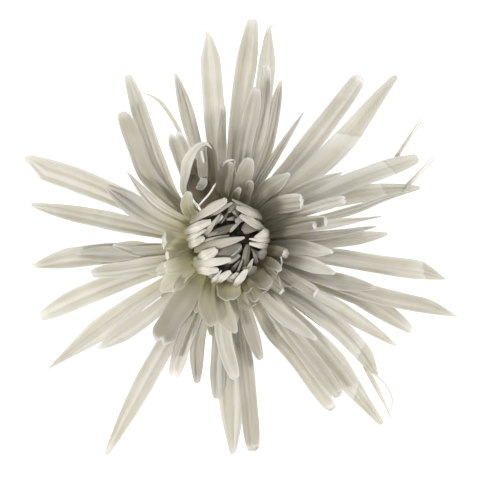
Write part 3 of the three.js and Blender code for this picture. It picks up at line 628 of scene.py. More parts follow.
def shape_floret(blank, spine, width, end, form, draw, lean=0.0):
    """Corner places of one floret laid along its spine, from the blank's flat strip."""
    flat = coordinates(blank)
    v = flat[:, 0]
    s = 1 - (1 - (flat[:, 1] + 1) / 2) ** LENGTHWISE_EASE
    u = s * end_line(v, end, width / 2 / spine.length, draw(*TIP_SHIFT))
    opened = width / 2 * body_share(u, form)
    half = opened * narrowing(u, end)
    lean += draw(*EXTRA_LEAN)
    tip_lean = width / 2 * (1 - ENDS[end]["tip"])
    leaned = lean * (opened - half - tip_lean * np.clip(2 * u - 1, 0, 1) ** 2)
    half *= 1 + EDGE_WAVE * wave(u, draw, "edge") * ramp(u, 0.2, 0.5)
    arc = mix(form["root_arc"], form["arc"] + draw(*EXTRA_ARC), ramp(u, 0.0, 0.4))
    arc = np.radians(arc + form["tip_arc"] * ramp(u, 0.86, 1.0))
    radius = half / np.sin(np.minimum(arc, math.pi / 2))
    side = radius * np.sin(arc * v)
    rise = radius * (1 - np.cos(arc * v))
    ribs = round(draw(*RIBS))
    open_share = ramp(u, 0.10, 0.4) * (1 - ramp(u, 0.9, 1.0)) * (1 - v**4)
    fading = (1 - RIB_WAVE) + RIB_WAVE * wave(u, draw, "rib")
    rise += form["rib"] * np.cos(math.pi * ribs * (v + draw(*RIB_SHIFT))) * open_share * fading
    crease = draw(*CREASE_PLACE) + CREASE_WAVE * np.sin(u * draw(*WAVES["crease"]))
    depth = form["groove"] * draw(*GROOVE_DEPTH)
    groove = np.exp(-(((v - crease) / CREASE_WIDTH) ** 2))
    rise -= depth * groove * ramp(u, 0.05, 0.3) * (1 - ramp(u, 0.85, 1))
    ripple = wave(u, draw, "frill") + 0.5 * np.sin(u * draw(*WAVES["fine_frill"]) + v)
    rise += form["frill"] * ripple * v**2 * np.sign(v + draw(*FRILL_SIDE)) * ramp(u, 0.3, 0.7)
    places = (
        spine.at("places", u) + spine.at("across", u) * (side + leaned)[:, None]
        + spine.at("up", u) * rise[:, None]
    )
    places[:, 2] = np.maximum(places[:, 2], LOWEST)
    return places


EDGE_THINNESS = 0.3  # thickness at a blade's edges, as a share of its thickness


def grow(name, blank, florets, thickness, slot, finish, node):
    """Joins the florets, gives the blades their thickness, and hands the piece over."""
    deselect()
    for floret in florets:
        floret.select_set(True)
    bpy.context.view_layer.objects.active = florets[0]
    bpy.ops.object.join()
    piece = new_object(name)
    bpy.data.objects.remove(blank)
    shell = piece.modifiers.new("shell", "SOLIDIFY")
    shell.thickness = thickness
    shell.offset = 0.0
    shell.vertex_group = "body"
    shell.thickness_vertex_group = EDGE_THINNESS
    bpy.ops.object.modifier_apply(modifier=shell.name)
    bpy.ops.object.shade_smooth()
    piece.vertex_groups.clear()
    hand_over(piece, slot, finish, node)


def hand_over(piece, slot, finish, *nodes):
    """Gives a piece its finish and its body, and hides the CAD nodes it replaces."""
    piece.data.materials.clear()
    piece.data.materials.append(finish)
    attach(piece, BODY)
    if nodes:
        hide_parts(*nodes)


def section(root_arc, arc, tip_arc, rib, groove, frill, root_share=ROOT_SHARE, open_by=OPEN_BY):
    """How a floret is cupped at its root, beyond and at its tip (degrees), and its relief (mm)."""
    return {
        "root_arc": root_arc, "arc": arc, "tip_arc": tip_arc, "rib": rib, "groove": groove,
        "frill": frill, "root_share": root_share, "open_by": open_by,
    }


FORMS = {
    "outer": section(95, 22, 16, 0.24, 0.22, 0.30),
    "middle": section(100, 26, 20, 0.20, 0.20, 0.26),
    "upper": section(95, 30, 30, 0.14, 0.14, 0.18),
    "inner": section(80, 45, 20, 0.06, 0.08, 0.10, 0.7),
    "fan": section(36, 22, 14, 0.20, 0.14, 0.08, 0.62),
    "thread": section(80, 78, 0, 0.0, 0.0, 0.0, 0.8),
    "arched": section(80, 34, 24, 0.08, 0.10, 0.10, 0.14, 0.85),
    "folded": section(30, 30, 24, 0.08, 0.10, 0.10, 0.8, 0.4),
}

# Painted highlight (whiteness) of a tip, by the form of the end.
GLEAMS = {"curl": 0.8, "square": 0.85, "notch": 0.8, "hook": 0.7, "point": 0.15, "sharp": 0.15}
USUAL_GLEAM = 0.4

# Tone of a floret, from 0 for the darkest to 1, and of those that are darker than the rest, by the
# whorl and bearing of their root: some are duller, and some take painted shade where they lie in
# the shade of the heart or of the arched floret.
TONES = (0.78, 1.0)
DULL_OR_SHADED = {
    "outer": {
        18: 0.95, 70: 0.95, 154: 0.73, 203: 0.92, 214: 0.9, 234: 0.88, 263: 0.56, 272: 0.83,
        279: 0.65, 328: 0.88,
    },
    "middle": {
        100: 0.72, 124: 0.7, 186: 0.7, 219: 0.86, 236: 0.75, 240: 0.9, 246: 0.57, 257: 0.89,
        336: 0.67,
    },
    "upper": {
        12: 0.62, 80: 0.77, 94: 0.62, 104: 0.06, 118: 0, 230: 0.52, 240: 0.5, 257: 0.73,
        284: 0.62, 318: 0.68, 328: 0.74,
    },
    "inner": {66: 0.59, 80: 0.62, 268: 0.68, 296: 0.51, 312: 0.7},
}

# Outer florets whose tip is painted as folded over, with a painted highlight up to the fold and
# painted shade past it, and where along their length.
FOLDED_TIPS = {30: 0.78, 38: 0.82, 52: 0.62, 297: 0.79, 309: 0.81, 349: 0.87}


def gleam_of(ray):
    """Painted highlight on a floret's tip or, below 0, the place where its tip is painted as folded
    over.
    """
    if ray.whorl == "outer" and ray.bearing in FOLDED_TIPS:
        return (1 - FOLDED_TIPS[ray.bearing]) ** (1 / LENGTHWISE_EASE) - 1
    return GLEAMS.get(ray.end, USUAL_GLEAM)


# that side also takes painted light and less painted shade on its roots
GREENEST_BEARING = 205  # the side of the bloom whose roots are greenest


def greenness(bearing):
    towards = 0.5 + 0.5 * math.cos(math.radians(bearing - GREENEST_BEARING))
    return mix(0.25, 1.0, towards**1.5)


CURLED = ("curl", "square")
CURL_LENGTH = 4.2  # of a tip that curls up and back
CURL_HIDES = 0.6  # share of that length by which it would fall short of its place
# How far the end past a share of the length bends, in degrees.
CURL_BEND = (150, 205)
HOOK_START, HOOK_BEND = 0.93, (35, 55)
BLUNT_START, BLUNT_BEND = 0.96, (10, 80)
EXTRA_RISE = (-0.9, 0.9)  # of a floret's middle
EXTRA_ROLL = (-9, 9)
HEIGHT_WAVE = 0.25


def ray_spine(ray, draw):
    """The middle line of a ray floret, from its plan and its whorl's height."""
    facts = WHORLS[ray.whorl]
    tip = ray.tip
    if ray.end in CURLED:
        past = np.array(tip) - ray.way[-1]
        tip = tuple(tip + past * (CURL_LENGTH * CURL_HIDES / np.linalg.norm(past)))
    plan, length = curve_through([polar(ROOT_RADIUS, ray.bearing), *ray.way, tip])
    u = np.linspace(0, 1, len(plan))
    leave = math.tan(math.radians(facts["launch"])) * length
    arrive = math.tan(math.radians(facts["arrival"])) * length
    height = hermite(u, facts["root"], leave, ray.tip_height + LOWEST, arrive)
    height = height + draw(*EXTRA_RISE) * np.sin(math.pi * u)
    height += HEIGHT_WAVE * wave(u, draw, "height") * u * (1 - u) * 4
    spine = Spine(np.column_stack([plan, height]), roll=ray.roll + draw(*EXTRA_ROLL))
    if ray.end in CURLED:
        spine.bend(1 - CURL_LENGTH / spine.length, draw(*CURL_BEND), "up")
    elif ray.end in ("hook", "spike", "nub"):
        spine.bend(HOOK_START, math.copysign(draw(*HOOK_BEND), -ray.lean or 1), "across")
    elif ray.end == "blunt":
        spine.bend(BLUNT_START, draw(*BLUNT_BEND), "up")
    return spine


def under_rays():
    """One shorter floret below every second outer one."""
    rays = []
    for ray in [ray for ray in RAYS if ray.whorl == "outer"][::2]:
        plan, _ = curve_through([polar(ROOT_RADIUS, ray.bearing), *ray.way, ray.tip])
        half, end = (plan[round(u * (SPINE_STEPS - 1))] for u in (UNDER_REACH / 2, UNDER_REACH))
        rays.append(Ray("outer", ray.bearing, [half], end, ray.width * UNDER_WIDTH,
                        UNDER_TIP_HEIGHT, "blunt"))
    return rays


def ring_rays():
    """Two even rings of shorter florets that fill the head."""
    draw = draw_from(RING_SEED)
    rays = []
    for whorl, ring in RINGS.items():
        for i in range(ring["count"]):
            bearing = i * 360 / ring["count"] + RING_JITTER * (draw() - 0.5)
            out = draw(*ring["reach"])
            way = polar((ROOT_RADIUS + out) / 2, bearing)
            width = draw(*ring["width"])
            height = draw(*ring["height"])
            if not any(low < bearing < high for low, high in HOLLOWS):
                rays.append(Ray(whorl, bearing, [way], polar(out, bearing), width, height, "lance"))
    return rays


def grow_whorls(name, whorls, rays):
    """All the ray florets of some whorls as one piece."""
    sizes = bpy.context.scene.flower_sizes
    blank, draw = start_blades(name)
    florets = []
    for ray in rays:
        if ray.whorl not in whorls:
            continue
        form = dict(FORMS[ray.whorl])
        if ray.whorl == "outer":
            form["rib"] = sizes.rib_height / MM
        spine = ray_spine(ray, draw)
        places = shape_floret(blank, spine, ray.width, ray.end, form, draw, ray.lean)
        tone = DULL_OR_SHADED.get(ray.whorl, {}).get(ray.bearing, draw(*TONES))
        florets.append(copy_of(blank, places, tone, greenness(ray.bearing), gleam_of(ray)))
    grow(name, blank, florets, sizes.floret_thickness, "ray_white", petal_finish(), "bloom")


# ------------------------------------------------------------------ shader expressions


class Flow:
    """A value, colour or vector on its way through a finish's nodes."""

    def __init__(self, finish, socket):
        self.finish = finish
        self.socket = socket

    def math(self, operation, *values):
        return self.finish.node("ShaderNodeMath", {"operation": operation}, dict(enumerate(values)))

    def __add__(self, other):
        return self.math("ADD", self, other)

    __radd__ = __add__

    def __sub__(self, other):
        return self.math("SUBTRACT", self, other)

    def __rsub__(self, other):
        return self.math("SUBTRACT", other, self)

    def __mul__(self, other):
        return self.math("MULTIPLY", self, other)

    __rmul__ = __mul__

    def __pow__(self, other):
        return self.math("POWER", self, other)

    def __abs__(self):
        return self.math("ABSOLUTE", self)

    def smooth(self, low, high):
        """Smooth step from 0 at low to 1 at high."""
        return self.finish.node(
            "ShaderNodeMapRange", {"interpolation_type": "SMOOTHSTEP"},
            {"Value": self, "From Min": low, "From Max": high},
        )


class Finish:
    """A material under construction: a surface shader and the nodes that feed it."""

    def __init__(self, name):
        self.material = bpy.data.materials.new(name)
        self.material.use_nodes = True
        self.tree = self.material.node_tree
        self.tree.nodes.clear()
        self.output = self.tree.nodes.new("ShaderNodeOutputMaterial")
        self.shader = self.tree.nodes.new("ShaderNodeBsdfPrincipled")
        self.tree.links.new(self.shader.outputs[0], self.output.inputs["Surface"])

    def node(self, kind, settings=None, inputs=None, out=0):
        made = self.tree.nodes.new(kind)
        for name, value in (settings or {}).items():
            setattr(made, name, value)
        for name, value in (inputs or {}).items():
            self.feed(made.inputs[name], value)
        return Flow(self, made.outputs[out])

    def feed(self, socket, value):
        if isinstance(value, Flow):
            self.tree.links.new(value.socket, socket)
        elif hasattr(socket.default_value, "__len__"):
            size = len(socket.default_value)
            socket.default_value = (*tuple(value)[:3], 1.0) if size == 4 else tuple(value)
        else:
            socket.default_value = value

    def blend(self, share, first, second, how="MIX"):
        """Colour between first and second, by share."""
        return self.node(
            "ShaderNodeMix", {"data_type": "RGBA", "blend_type": how},
            {0: share, 6: first, 7: second}, out=2,
        )

    def paint(self, colour, *coats):
        """Lays colours over one another, each of the coats being its share and its colour."""
        for share, coat in coats:
            colour = self.blend(share, colour, coat)
        return colour

    def noise(self, vector, scale, detail=2.0, roughness=0.5):
        return self.node(
            "ShaderNodeTexNoise", {},
            {"Vector": vector, "Scale": scale, "Detail": detail, "Roughness": roughness},
        )

    def cells(self, scale):
        return self.node("ShaderNodeTexVoronoi", {}, {"Vector": self.place(), "Scale": scale})

    def place(self):
        """Object coordinates."""
        return self.node("ShaderNodeTexCoord", out=3)

    def split(self, vector):
        """The first two numbers of a vector."""
        first = self.node("ShaderNodeSeparateXYZ", {}, {0: vector})
        return first, Flow(self, first.socket.node.outputs[1])

    def strip(self):
        """(across from -1 to 1, along from 0 to 1) of a blade, from its own UV map."""
        u, v = self.split(self.node("ShaderNodeUVMap", {"uv_map": "UVMap"}))
        return u * 2 - 1, v

    def from_axis(self):
        """Distance from the flower's axis (m)."""
        x, y = (part - middle * MM for part, middle in zip(self.split(self.place()), AXIS))
        return (x * x + y * y) ** 0.5

    def vector(self, x, y, z):
        return self.node("ShaderNodeCombineXYZ", {}, {0: x, 1: y, 2: z})

    def attribute(self, name):
        return self.node("ShaderNodeAttribute", {"attribute_name": name}, out=2)

    def set(self, **values):
        """Sets or links the surface shader's sockets, named with _ for each space."""
        for name, value in values.items():
            self.feed(self.shader.inputs[name.replace("_", " ")], value)

    def bump(self, height, distance, strength):
        normal = self.node(
            "ShaderNodeBump", {}, {"Strength": strength, "Distance": distance, "Height": height},
        )
        self.set(Normal=normal)

    def let_light_through(self, share, colour):
        """Mixes in light that shines through from behind."""
        through = self.node("ShaderNodeBsdfTranslucent", {}, {"Color": colour})
        surface = Flow(self, self.shader.outputs[0])
        mixed = self.node("ShaderNodeMixShader", {}, {0: share, 1: surface, 2: through})
        self.tree.links.new(mixed.socket, self.output.inputs["Surface"])


def made_once(build):
    """Keeps a finish, so that pieces that share it share one material."""
    kept = []

    def get():
        if not kept:
            kept.append(build(bpy.context.scene.flower_colours))
        return kept[0]

    return get


# How far from the axis (m) the florets' roots take their full painted shade, green, painted light
# near the heart and painted light further out, and where no longer, and how much nearer the axis
# the painted shade ends on the green side.
ROOT_SHADE = (0.0120, 0.0305)
THROAT = (0.0092, 0.0124)
LIT_THROAT_REACH = (0.0115, 0.0150)
GREEN_SHIFT = 0.0075
GLOW = (0.0160, 0.0340)

DARKEST_TONE = (0.12, 0.098, 0.062)  # what a floret of tone 0 keeps of its colour
# warm tint of the painted light on the green side
PAINTED_LIGHT_WARMTH = (1.0, 0.965, 0.80)
# white of the painted highlights on tips and folds
GLEAM = (0.95, 0.945, 0.925)
PETAL_FLESH = (1.0, 0.85, 0.55)  # how far light of each colour spreads inside
HEART_FLESH = (1.0, 0.8, 0.5)
SHINE_THROUGH = (0.88, 0.86, 0.79)
CREASE_AT = 0.2
CREASE_SOFTNESS = 0.012


@made_once
def petal_finish(colours):
    """Satin ray floret: fine lengthwise streaks, pale tip and edges with painted highlights,
    painted highlight and painted shade on facets, creases and folds, and painted shade, painted
    light and green towards the root.
    """
    f = Finish("petal")
    across, along = f.strip()
    tone, green, gleam = (f.attribute(name) for name in ATTRIBUTES)
    outward = f.from_axis()
    # painted shade towards the root, ending nearer the axis on the green side
    root = 1 - (outward + green * GREEN_SHIFT).smooth(*ROOT_SHADE)

    streaks = f.noise(f.vector(across * 5.5 + tone * 60, along * 0.9, tone * 19), 1.6, 3.0, 0.65)
    fine = f.noise(f.vector(across * 20 + tone * 31, along * 2.2, tone * 11), 1.5, 2.0)
    clouds = f.noise(f.place(), 140.0)
    lit_and_shaded_facets = f.noise(f.vector(across * 1.5 + tone * 47, along * 0.3, tone * 13), 1.1, 1.0)
    colour = f.paint(
        colours.petal,
        (streaks.smooth(0.40, 0.72) * 0.44, colours.vein),
        (clouds.smooth(0.35, 0.75) * 0.45, colours.pale),
        # painted shade and painted highlight on the two sides of lengthwise facets
        (lit_and_shaded_facets.smooth(0.50, 0.53) * 0.2, colours.vein),
        (lit_and_shaded_facets.smooth(0.46, 0.43) * 0.55, colours.pale),
    )

    # some florets are creased across: painted shade along the crease, and a painted highlight past
    # it
    creased = f.noise(f.vector(tone * 211, 7.0, tone * 53), 1.0, 0.0).smooth(0.52, 0.54)
    start = f.noise(f.vector(tone * 97, tone * 31, 4.0), 1.0, 0.0) * 1.2 + CREASE_AT
    past = along + across * 0.04 - start
    beyond = past.smooth(0.0, CREASE_SOFTNESS)
    # pale towards the tip, with painted highlights along the edges away from the root
    paler = along.smooth(0.72, 1.0) * 0.6 + abs(across).smooth(0.78, 0.97) * (1 - root) * 0.85
    # painted light: roots on the green side made paler, then warmer, out past the heart
    painted_light = (1 - outward.smooth(*GLOW)) * green**2
    colour = f.paint(
        colour,
        (beyond * creased * 0.35, colours.pale),
        ((beyond - past.smooth(CREASE_SOFTNESS, 0.06)) * creased * 0.25, colours.vein),
        (paler.smooth(0.0, 1.0) * 0.9, colours.pale),
        (painted_light * 0.6, colours.pale),
    )

    # dulled, or given painted shade, as a whole by its tone, then painted shade or green towards
    # the root
    colour = f.blend(1.0, colour, f.blend(tone, DARKEST_TONE, (1.0, 1.0, 1.0)), "MULTIPLY")
    shaded = root * (1 - along.smooth(0.5, 1.0) * 0.6) * (1 - green * 0.2)
    colour = f.blend(shaded, colour, f.blend(green.smooth(0.2, 1.0), colours.shade, colours.throat))
    colour = f.blend(painted_light * 0.8, colour, PAINTED_LIGHT_WARMTH, "MULTIPLY")
    colour = f.paint(
        colour,
        # painted light on the green side's roots close to the heart
        ((1 - outward.smooth(*LIT_THROAT_REACH)) * green**2 * 0.75, colours.lit_throat),
        ((1 - outward.smooth(*THROAT)) * green**3 * 0.95, colours.deep_green),
        # painted shade in streaks between the roots
        (streaks.smooth(0.44, 0.66) * root * (0.4 - green * 0.3), colours.shade),
    )

    # a tip painted as folded over has a painted highlight up to the fold and painted shade past it;
    # others have a painted highlight at the tip
    folded = (0 - gleam).smooth(0.4, 0.5)
    past = along + across * 0.03 + gleam
    beyond = past.smooth(0.0, 0.008) * folded
    white = (along.smooth(0.84, 0.97) * gleam + (gleam - 1).smooth(0.0, 1.0)).smooth(0.0, 1.0)
    colour = f.paint(
        colour,
        ((past.smooth(-0.11, 0.0) * folded - beyond) * 0.42, GLEAM),
        (beyond * 0.2, colours.vein),
        ((beyond - past.smooth(0.008, 0.03) * folded) * 0.4, colours.vein),
        (white, GLEAM),
    )
    f.set(
        Base_Color=colour, Roughness=0.40 + fine * 0.18, Subsurface_Weight=0.18,
        Subsurface_Radius=PETAL_FLESH, Subsurface_Scale=1.2 * MM, Specular_IOR_Level=0.42,
        Sheen_Weight=0.08,
    )
    f.bump(streaks * 0.7 + fine * 0.3, 0.12 * MM, 0.5)
    f.let_light_through(0.34, SHINE_THROUGH)
    return f.material


@made_once
def heart_finish(colours):
    """Incurved floret: smooth cream back, with painted shade towards its sides and root, on the
    deeper florets and in streaks, and painted highlights along its rims.
    """
    f = Finish("heart_petal")
    across, along = f.strip()
    tone, green = f.attribute("tone"), f.attribute("green")
    streaks = f.noise(f.vector(across * 4 + tone * 40, along * 0.8, tone * 23), 1.4, 3.0, 0.6)
    deep = 1 - along.smooth(0.3, 0.7)
    colour = f.paint(
        colours.heart,
        # painted shade in lengthwise streaks
        (streaks.smooth(0.42, 0.7) * 0.32, colours.shade),
        # painted shade on the florets that lie deeper in the heart
        (1 - tone.smooth(-0.1, 1.12), colours.heart_painted_shade),
        # painted highlight along the rims
        (abs(across).smooth(0.80, 0.95) * tone * 0.5, colours.petal),
        # painted shade towards the root
        (deep * 0.8, colours.heart_painted_shade),
        (deep * green * 0.25, colours.throat),
    )
    f.set(
        Base_Color=colour, Roughness=0.38 + streaks * 0.14, Subsurface_Weight=0.12,
        Subsurface_Radius=HEART_FLESH, Subsurface_Scale=1 * MM, Specular_IOR_Level=0.45,
    )
    f.bump(streaks, 0.1 * MM, 0.4)
    return f.material


@made_once
def receptacle_finish(colours):
    """Pitted dome that the florets grow from, deep in their shade, with painted shade in its pits.
    """
    f = Finish("receptacle")
    pits = f.cells(900.0)
    colour = f.blend(pits.smooth(0.1, 0.5), colours.throat, colours.heart_painted_shade)
    f.set(Base_Color=colour, Roughness=0.75)
    f.bump(pits, 0.4 * MM, 0.6)
    return f.material


@made_once
def hollow_shade_finish(colours):
    """Dark bottom of the hollows between the incurved florets: near-black painted shade, with cells
    like buds.
    """
    f = Finish("hollow")
    buds = f.cells(700.0)
    colour = f.blend(buds.smooth(0.1, 0.6), colours.hollow, colours.hollow_shade_deep)
    f.set(Base_Color=colour, Roughness=0.8)
    f.bump(buds, 0.4 * MM, 0.6)
    return f.material


@made_once
def bract_finish(colours):
    """Green bract with a papery margin and lengthwise streaks."""
    f = Finish("bract")
    across, along = f.strip()
    tone = f.attribute("tone")
    streaks = f.noise(f.vector(across * 9 + tone * 30, along * 1.5, tone * 9), 1.5, 3.0)
    margin = abs(across).smooth(0.62, 0.95) * 0.9 + along.smooth(0.82, 1.0) * 0.7
    colour = f.paint(
        colours.bract,
        (streaks.smooth(0.3, 0.8) * 0.5, colours.stem),
        (margin.smooth(0.0, 1.0), colours.bract_edge),
    )
    f.set(Base_Color=colour, Roughness=0.55 + streaks * 0.15, Specular_IOR_Level=0.35)
    f.bump(streaks, 0.15 * MM, 0.5)
    return f.material


@made_once
def cup_finish(colours):
    """Green base that the bracts clasp."""
    f = Finish("bract_cup")
    grain = f.noise(f.place(), 600.0, 3.0)
    colour = f.blend(grain.smooth(0.3, 0.7), colours.bract, colours.stem)
    f.set(Base_Color=colour, Roughness=0.6 + grain * 0.1)
    f.bump(grain, 0.2 * MM, 0.4)
    return f.material


@made_once
def stem_finish(colours):
    """Green skin with fine lengthwise fibres."""
    f = Finish("stem_skin")
    stretched = f.node("ShaderNodeMapping", {}, {"Vector": f.place(), "Scale": (1.0, 1.0, 0.12)})
    fibres = f.noise(stretched, 2600.0, 3.0)
    blotches = f.noise(f.place(), 420.0)
    colour = f.paint(
        colours.stem,
        (fibres.smooth(0.35, 0.7) * 0.6, colours.bract),
        (blotches.smooth(0.5, 0.8) * 0.35, colours.bract_edge),
    )
    f.set(Base_Color=colour, Roughness=0.5 + fibres * 0.15, Specular_IOR_Level=0.4)
    f.bump(fibres, 0.1 * MM, 0.5)
    return f.material


@made_once
def pith_finish(colours):
    """Freshly cut face of the stem: pale pith with darker cells."""
    f = Finish("stem_pith")
    cells = f.cells(2600.0)
    colour = f.blend(cells.smooth(0.1, 0.6) * 0.5, colours.pith, colours.bract_edge)
    f.set(Base_Color=colour, Roughness=0.6 + cells * 0.2)
    f.bump(cells, 0.08 * MM, 0.4)
    return f.material


@made_once
def floor_finish(colours):
    """Pale table top, lit a little from below, as a light table is."""
    f = Finish("pale_table")
    f.set(
        Base_Color=tuple(colours.floor), Roughness=0.9, Specular_IOR_Level=0.1,
        Emission_Color=(1.0, 1.0, 1.0), Emission_Strength=0.62,
    )
    return f.material


# ------------------------------------------------------------------ operators


class FLOWER_OT_outer_whorl(bpy.types.Operator):
    """Grows the long outer ray florets, and the shorter ones below them"""

    bl_idname = "flower.outer_whorl"
    bl_label = "Outer florets"

    def execute(self, context):
        grow_whorls("outer_florets", {"outer"}, RAYS + under_rays() + ring_rays())
        return {"FINISHED"}


class FLOWER_OT_middle_whorl(bpy.types.Operator):
    """Grows the middle ray florets, which reach out level"""

    bl_idname = "flower.middle_whorl"
    bl_label = "Middle florets"

    def execute(self, context):
        grow_whorls("middle_florets", {"middle"}, RAYS)
        return {"FINISHED"}


class FLOWER_OT_upper_whorl(bpy.types.Operator):
    """Grows the short florets that turn up round the heart"""

    bl_idname = "flower.upper_whorl"
    bl_label = "Upper florets"

    def execute(self, context):
        grow_whorls("upper_florets", {"upper", "inner", "fan"}, RAYS + ring_rays())
        return {"FINISHED"}


WIDEST_THREAD = 2
STRAY_TONES = (0.8, 1)
STRAY_GREEN = 0.5
STRAY_GLEAM = 0.5


class FLOWER_OT_strays(bpy.types.Operator):
    """Grows the florets that rolled up into threads, and the one that folds back on itself"""

    bl_idname = "flower.strays"
    bl_label = "Stray florets"

    def execute(self, context):
        blank, draw = start_blades("stray_florets")
        florets = []

        def shaped(way, *plan):
            return shape_floret(blank, Spine(curve_through(way)[0]), *plan, draw)

        for bearing, way, width, end in STRAYS:
            high = way[0][2] > WHORLS["upper"]["root"]
            root = WHORLS["upper" if high else "outer"]["root"]
            form = FORMS["arched" if width > WIDEST_THREAD else "thread"]
            places = shaped([(*polar(ROOT_RADIUS, bearing), root), *way], width, end, form)
            looks = (draw(*STRAY_TONES), greenness(bearing) * STRAY_GREEN, STRAY_GLEAM)
            florets.append(copy_of(blank, places, *looks))
        for way, width, end, tone, whiteness in FOLDS:
            places = shaped(way, width, end, FORMS["folded"])
            florets.append(copy_of(blank, places, tone, 0.0, whiteness))
        # slivers painted white as highlights
        for way, width, whiteness in SLIVERS:
            places = shaped(way, width, "spike", FORMS["thread"])
            florets.append(copy_of(blank, places, 1.0, 0.0, whiteness))
        grow("stray_florets", blank, florets, context.scene.flower_sizes.floret_thickness,
             "ray_white", petal_finish(), "bloom")
        return {"FINISHED"}


BELLY_HEIGHT = 33  # of a floret of the heart that bellies out as far as BELLY_REACH
BELLY_REACH = 12.5
BELLY_STEEPNESS = 0.6
HEART_FORM = section(60, 38, 14, 0.05, 0.20, 0.08, 0.56, 0.62)
HEART_TONE_SPREAD = (-0.06, 0.06)


def heart_spine(plan):
    """The middle line of an incurved floret: out to its belly, then over the middle."""
    x, y, tip_x, tip_y = plan[:4]
    belly = BELLY_HEIGHT + (BELLY_REACH - math.hypot(x, y)) * BELLY_STEEPNESS
    points = [
        (x * 0.62, y * 0.62, HEART_SEAT + 1.5),
        (x * 0.97, y * 0.97, mix(HEART_SEAT, belly, 0.62)),
        (x, y, belly),
        (mix(x, tip_x, 0.34), mix(y, tip_y, 0.34), mix(belly, plan.crest, 0.86)),
        (mix(x, tip_x, 0.72), mix(y, tip_y, 0.72), plan.crest),
        (tip_x, tip_y, plan.tip_height),
    ]
    places, _ = curve_through(points)
    ahead = unit(np.gradient(places, axis=0))
    outward = unit((places - (0, 0, HEART_CENTRE)) * (1, 1, 1.3))
    return Spine(places, side=unit(np.cross(ahead, outward)))


class FLOWER_OT_heart(bpy.types.Operator):
    """Grows the incurved florets of the heart"""

    bl_idname = "flower.heart"
    bl_label = "Heart"

    def execute(self, context):
        blank, draw = start_blades("heart_florets")
        plans = list(HEART_FLORETS)
        for i in range(HEART_RING["count"]):
            bearing = (i + 0.5) * 360 / HEART_RING["count"]
            belly = polar(HEART_RING["belly"], bearing)
            tip = polar(HEART_RING["tip"], bearing - HEART_RING["twist"])
            plans.append(HeartFloret(*belly, *tip, *HEART_RING["looks"]))
        florets = []
        for plan in plans:
            spine = heart_spine(plan)
            places = shape_floret(blank, spine, plan.width, plan.end, HEART_FORM, draw)
            green = greenness(math.degrees(math.atan2(plan.y, plan.x)))
            tone = plan.painted_lightness + draw(*HEART_TONE_SPREAD)
            florets.append(copy_of(blank, places, tone, green, 0))
        grow("heart_florets", blank, florets, context.scene.flower_sizes.heart_thickness,
             "heart_cream", heart_finish(), "heart")
        return {"FINISHED"}


# Outlines of the domes from the bottom to the top, as pairs of radius and height.
RECEPTACLE = [
    (0, 16.4), (6, 16.4), (10.8, 16.5), (12, 18.2), (12, 21), (10.6, 24.4), (8.2, 26.8), (4, 27.1),
    (0, 27.1),
]
HEART_CORE = [
    (0, 27.6), (5, 27.6), (8.4, 28), (9.4, 30), (9.2, 32), (7.4, 33.6), (5.4, 34.2), (3, 33.8),
    (0, 33.2),
]
BRACT_CUP = [
    (0, 6.3), (3.6, 6.3), (5.4, 7.5), (7.4, 9.2), (9.2, 10.9), (10.6, 12.4), (11.4, 13.7),
    (11.6, 15), (11.4, 15.9), (6, 16), (0, 16),
]


PIMPLES_ROUND = 21
PIMPLE_WAVE = 60  # radians from the bottom to the top


def domed_piece(name, profile, finish, slot, pimples=0.0):
    """A closed dome with an outline, and pimples that rise by a share of its radius."""
    deselect()
    bpy.ops.mesh.primitive_uv_sphere_add(segments=64, ring_count=40, radius=1.0)
    piece = new_object(name)
    ball = coordinates(piece)
    share = 1 - np.arccos(np.clip(ball[:, 2], -1, 1)) / math.pi
    steps = np.linspace(0, 1, len(profile))
    radius = np.interp(share, steps, [r for r, _ in profile])
    height = np.interp(share, steps, [z for _, z in profile])
    angle = np.arctan2(ball[:, 1], ball[:, 0])
    radius *= 1 + pimples * np.sin(angle * PIMPLES_ROUND) * np.sin(share * PIMPLE_WAVE)
    places = np.column_stack(
        [radius * np.cos(angle) + AXIS[0], radius * np.sin(angle) + AXIS[1], height]
    )
    piece.data.vertices.foreach_set("co", (places * MM).ravel())
    piece.data.update()
    bpy.ops.object.shade_smooth()
    hand_over(piece, slot, finish)


class FLOWER_OT_receptacle(bpy.types.Operator):
    """Makes the dome that the ray florets grow from, and the core of the heart"""

    bl_idname = "flower.receptacle"
    bl_label = "Receptacle"

    def execute(self, context):
        domed_piece("receptacle", RECEPTACLE, receptacle_finish(), "ray_white", pimples=0.02)
        # the heart's core stands in the hollows as near-black painted shade
        domed_piece("heart_core", HEART_CORE, hollow_shade_finish(), "heart_cream", pimples=0.03)
        return {"FINISHED"}


# Rows of bracts: radius and height of their feet and tips, share of a step by which a row is
# turned, and width.
BRACT_ROWS = [
    {"foot": (4.4, 7.3), "tip": (11.9, 13.4), "turn": 0.0, "width": 5.4},
    {"foot": (8.2, 10.5), "tip": (13.1, 15.9), "turn": 0.5, "width": 4.4},
]
BRACTS_PER_ROW = 11
BRACT_BULGE = 0.9
BRACT_SPREAD = (-3, 3)  # degrees from its even place
BRACT_FORM = section(40, 30, 10, 0.03, -0.12, 0.10, 0.8, 0.4)


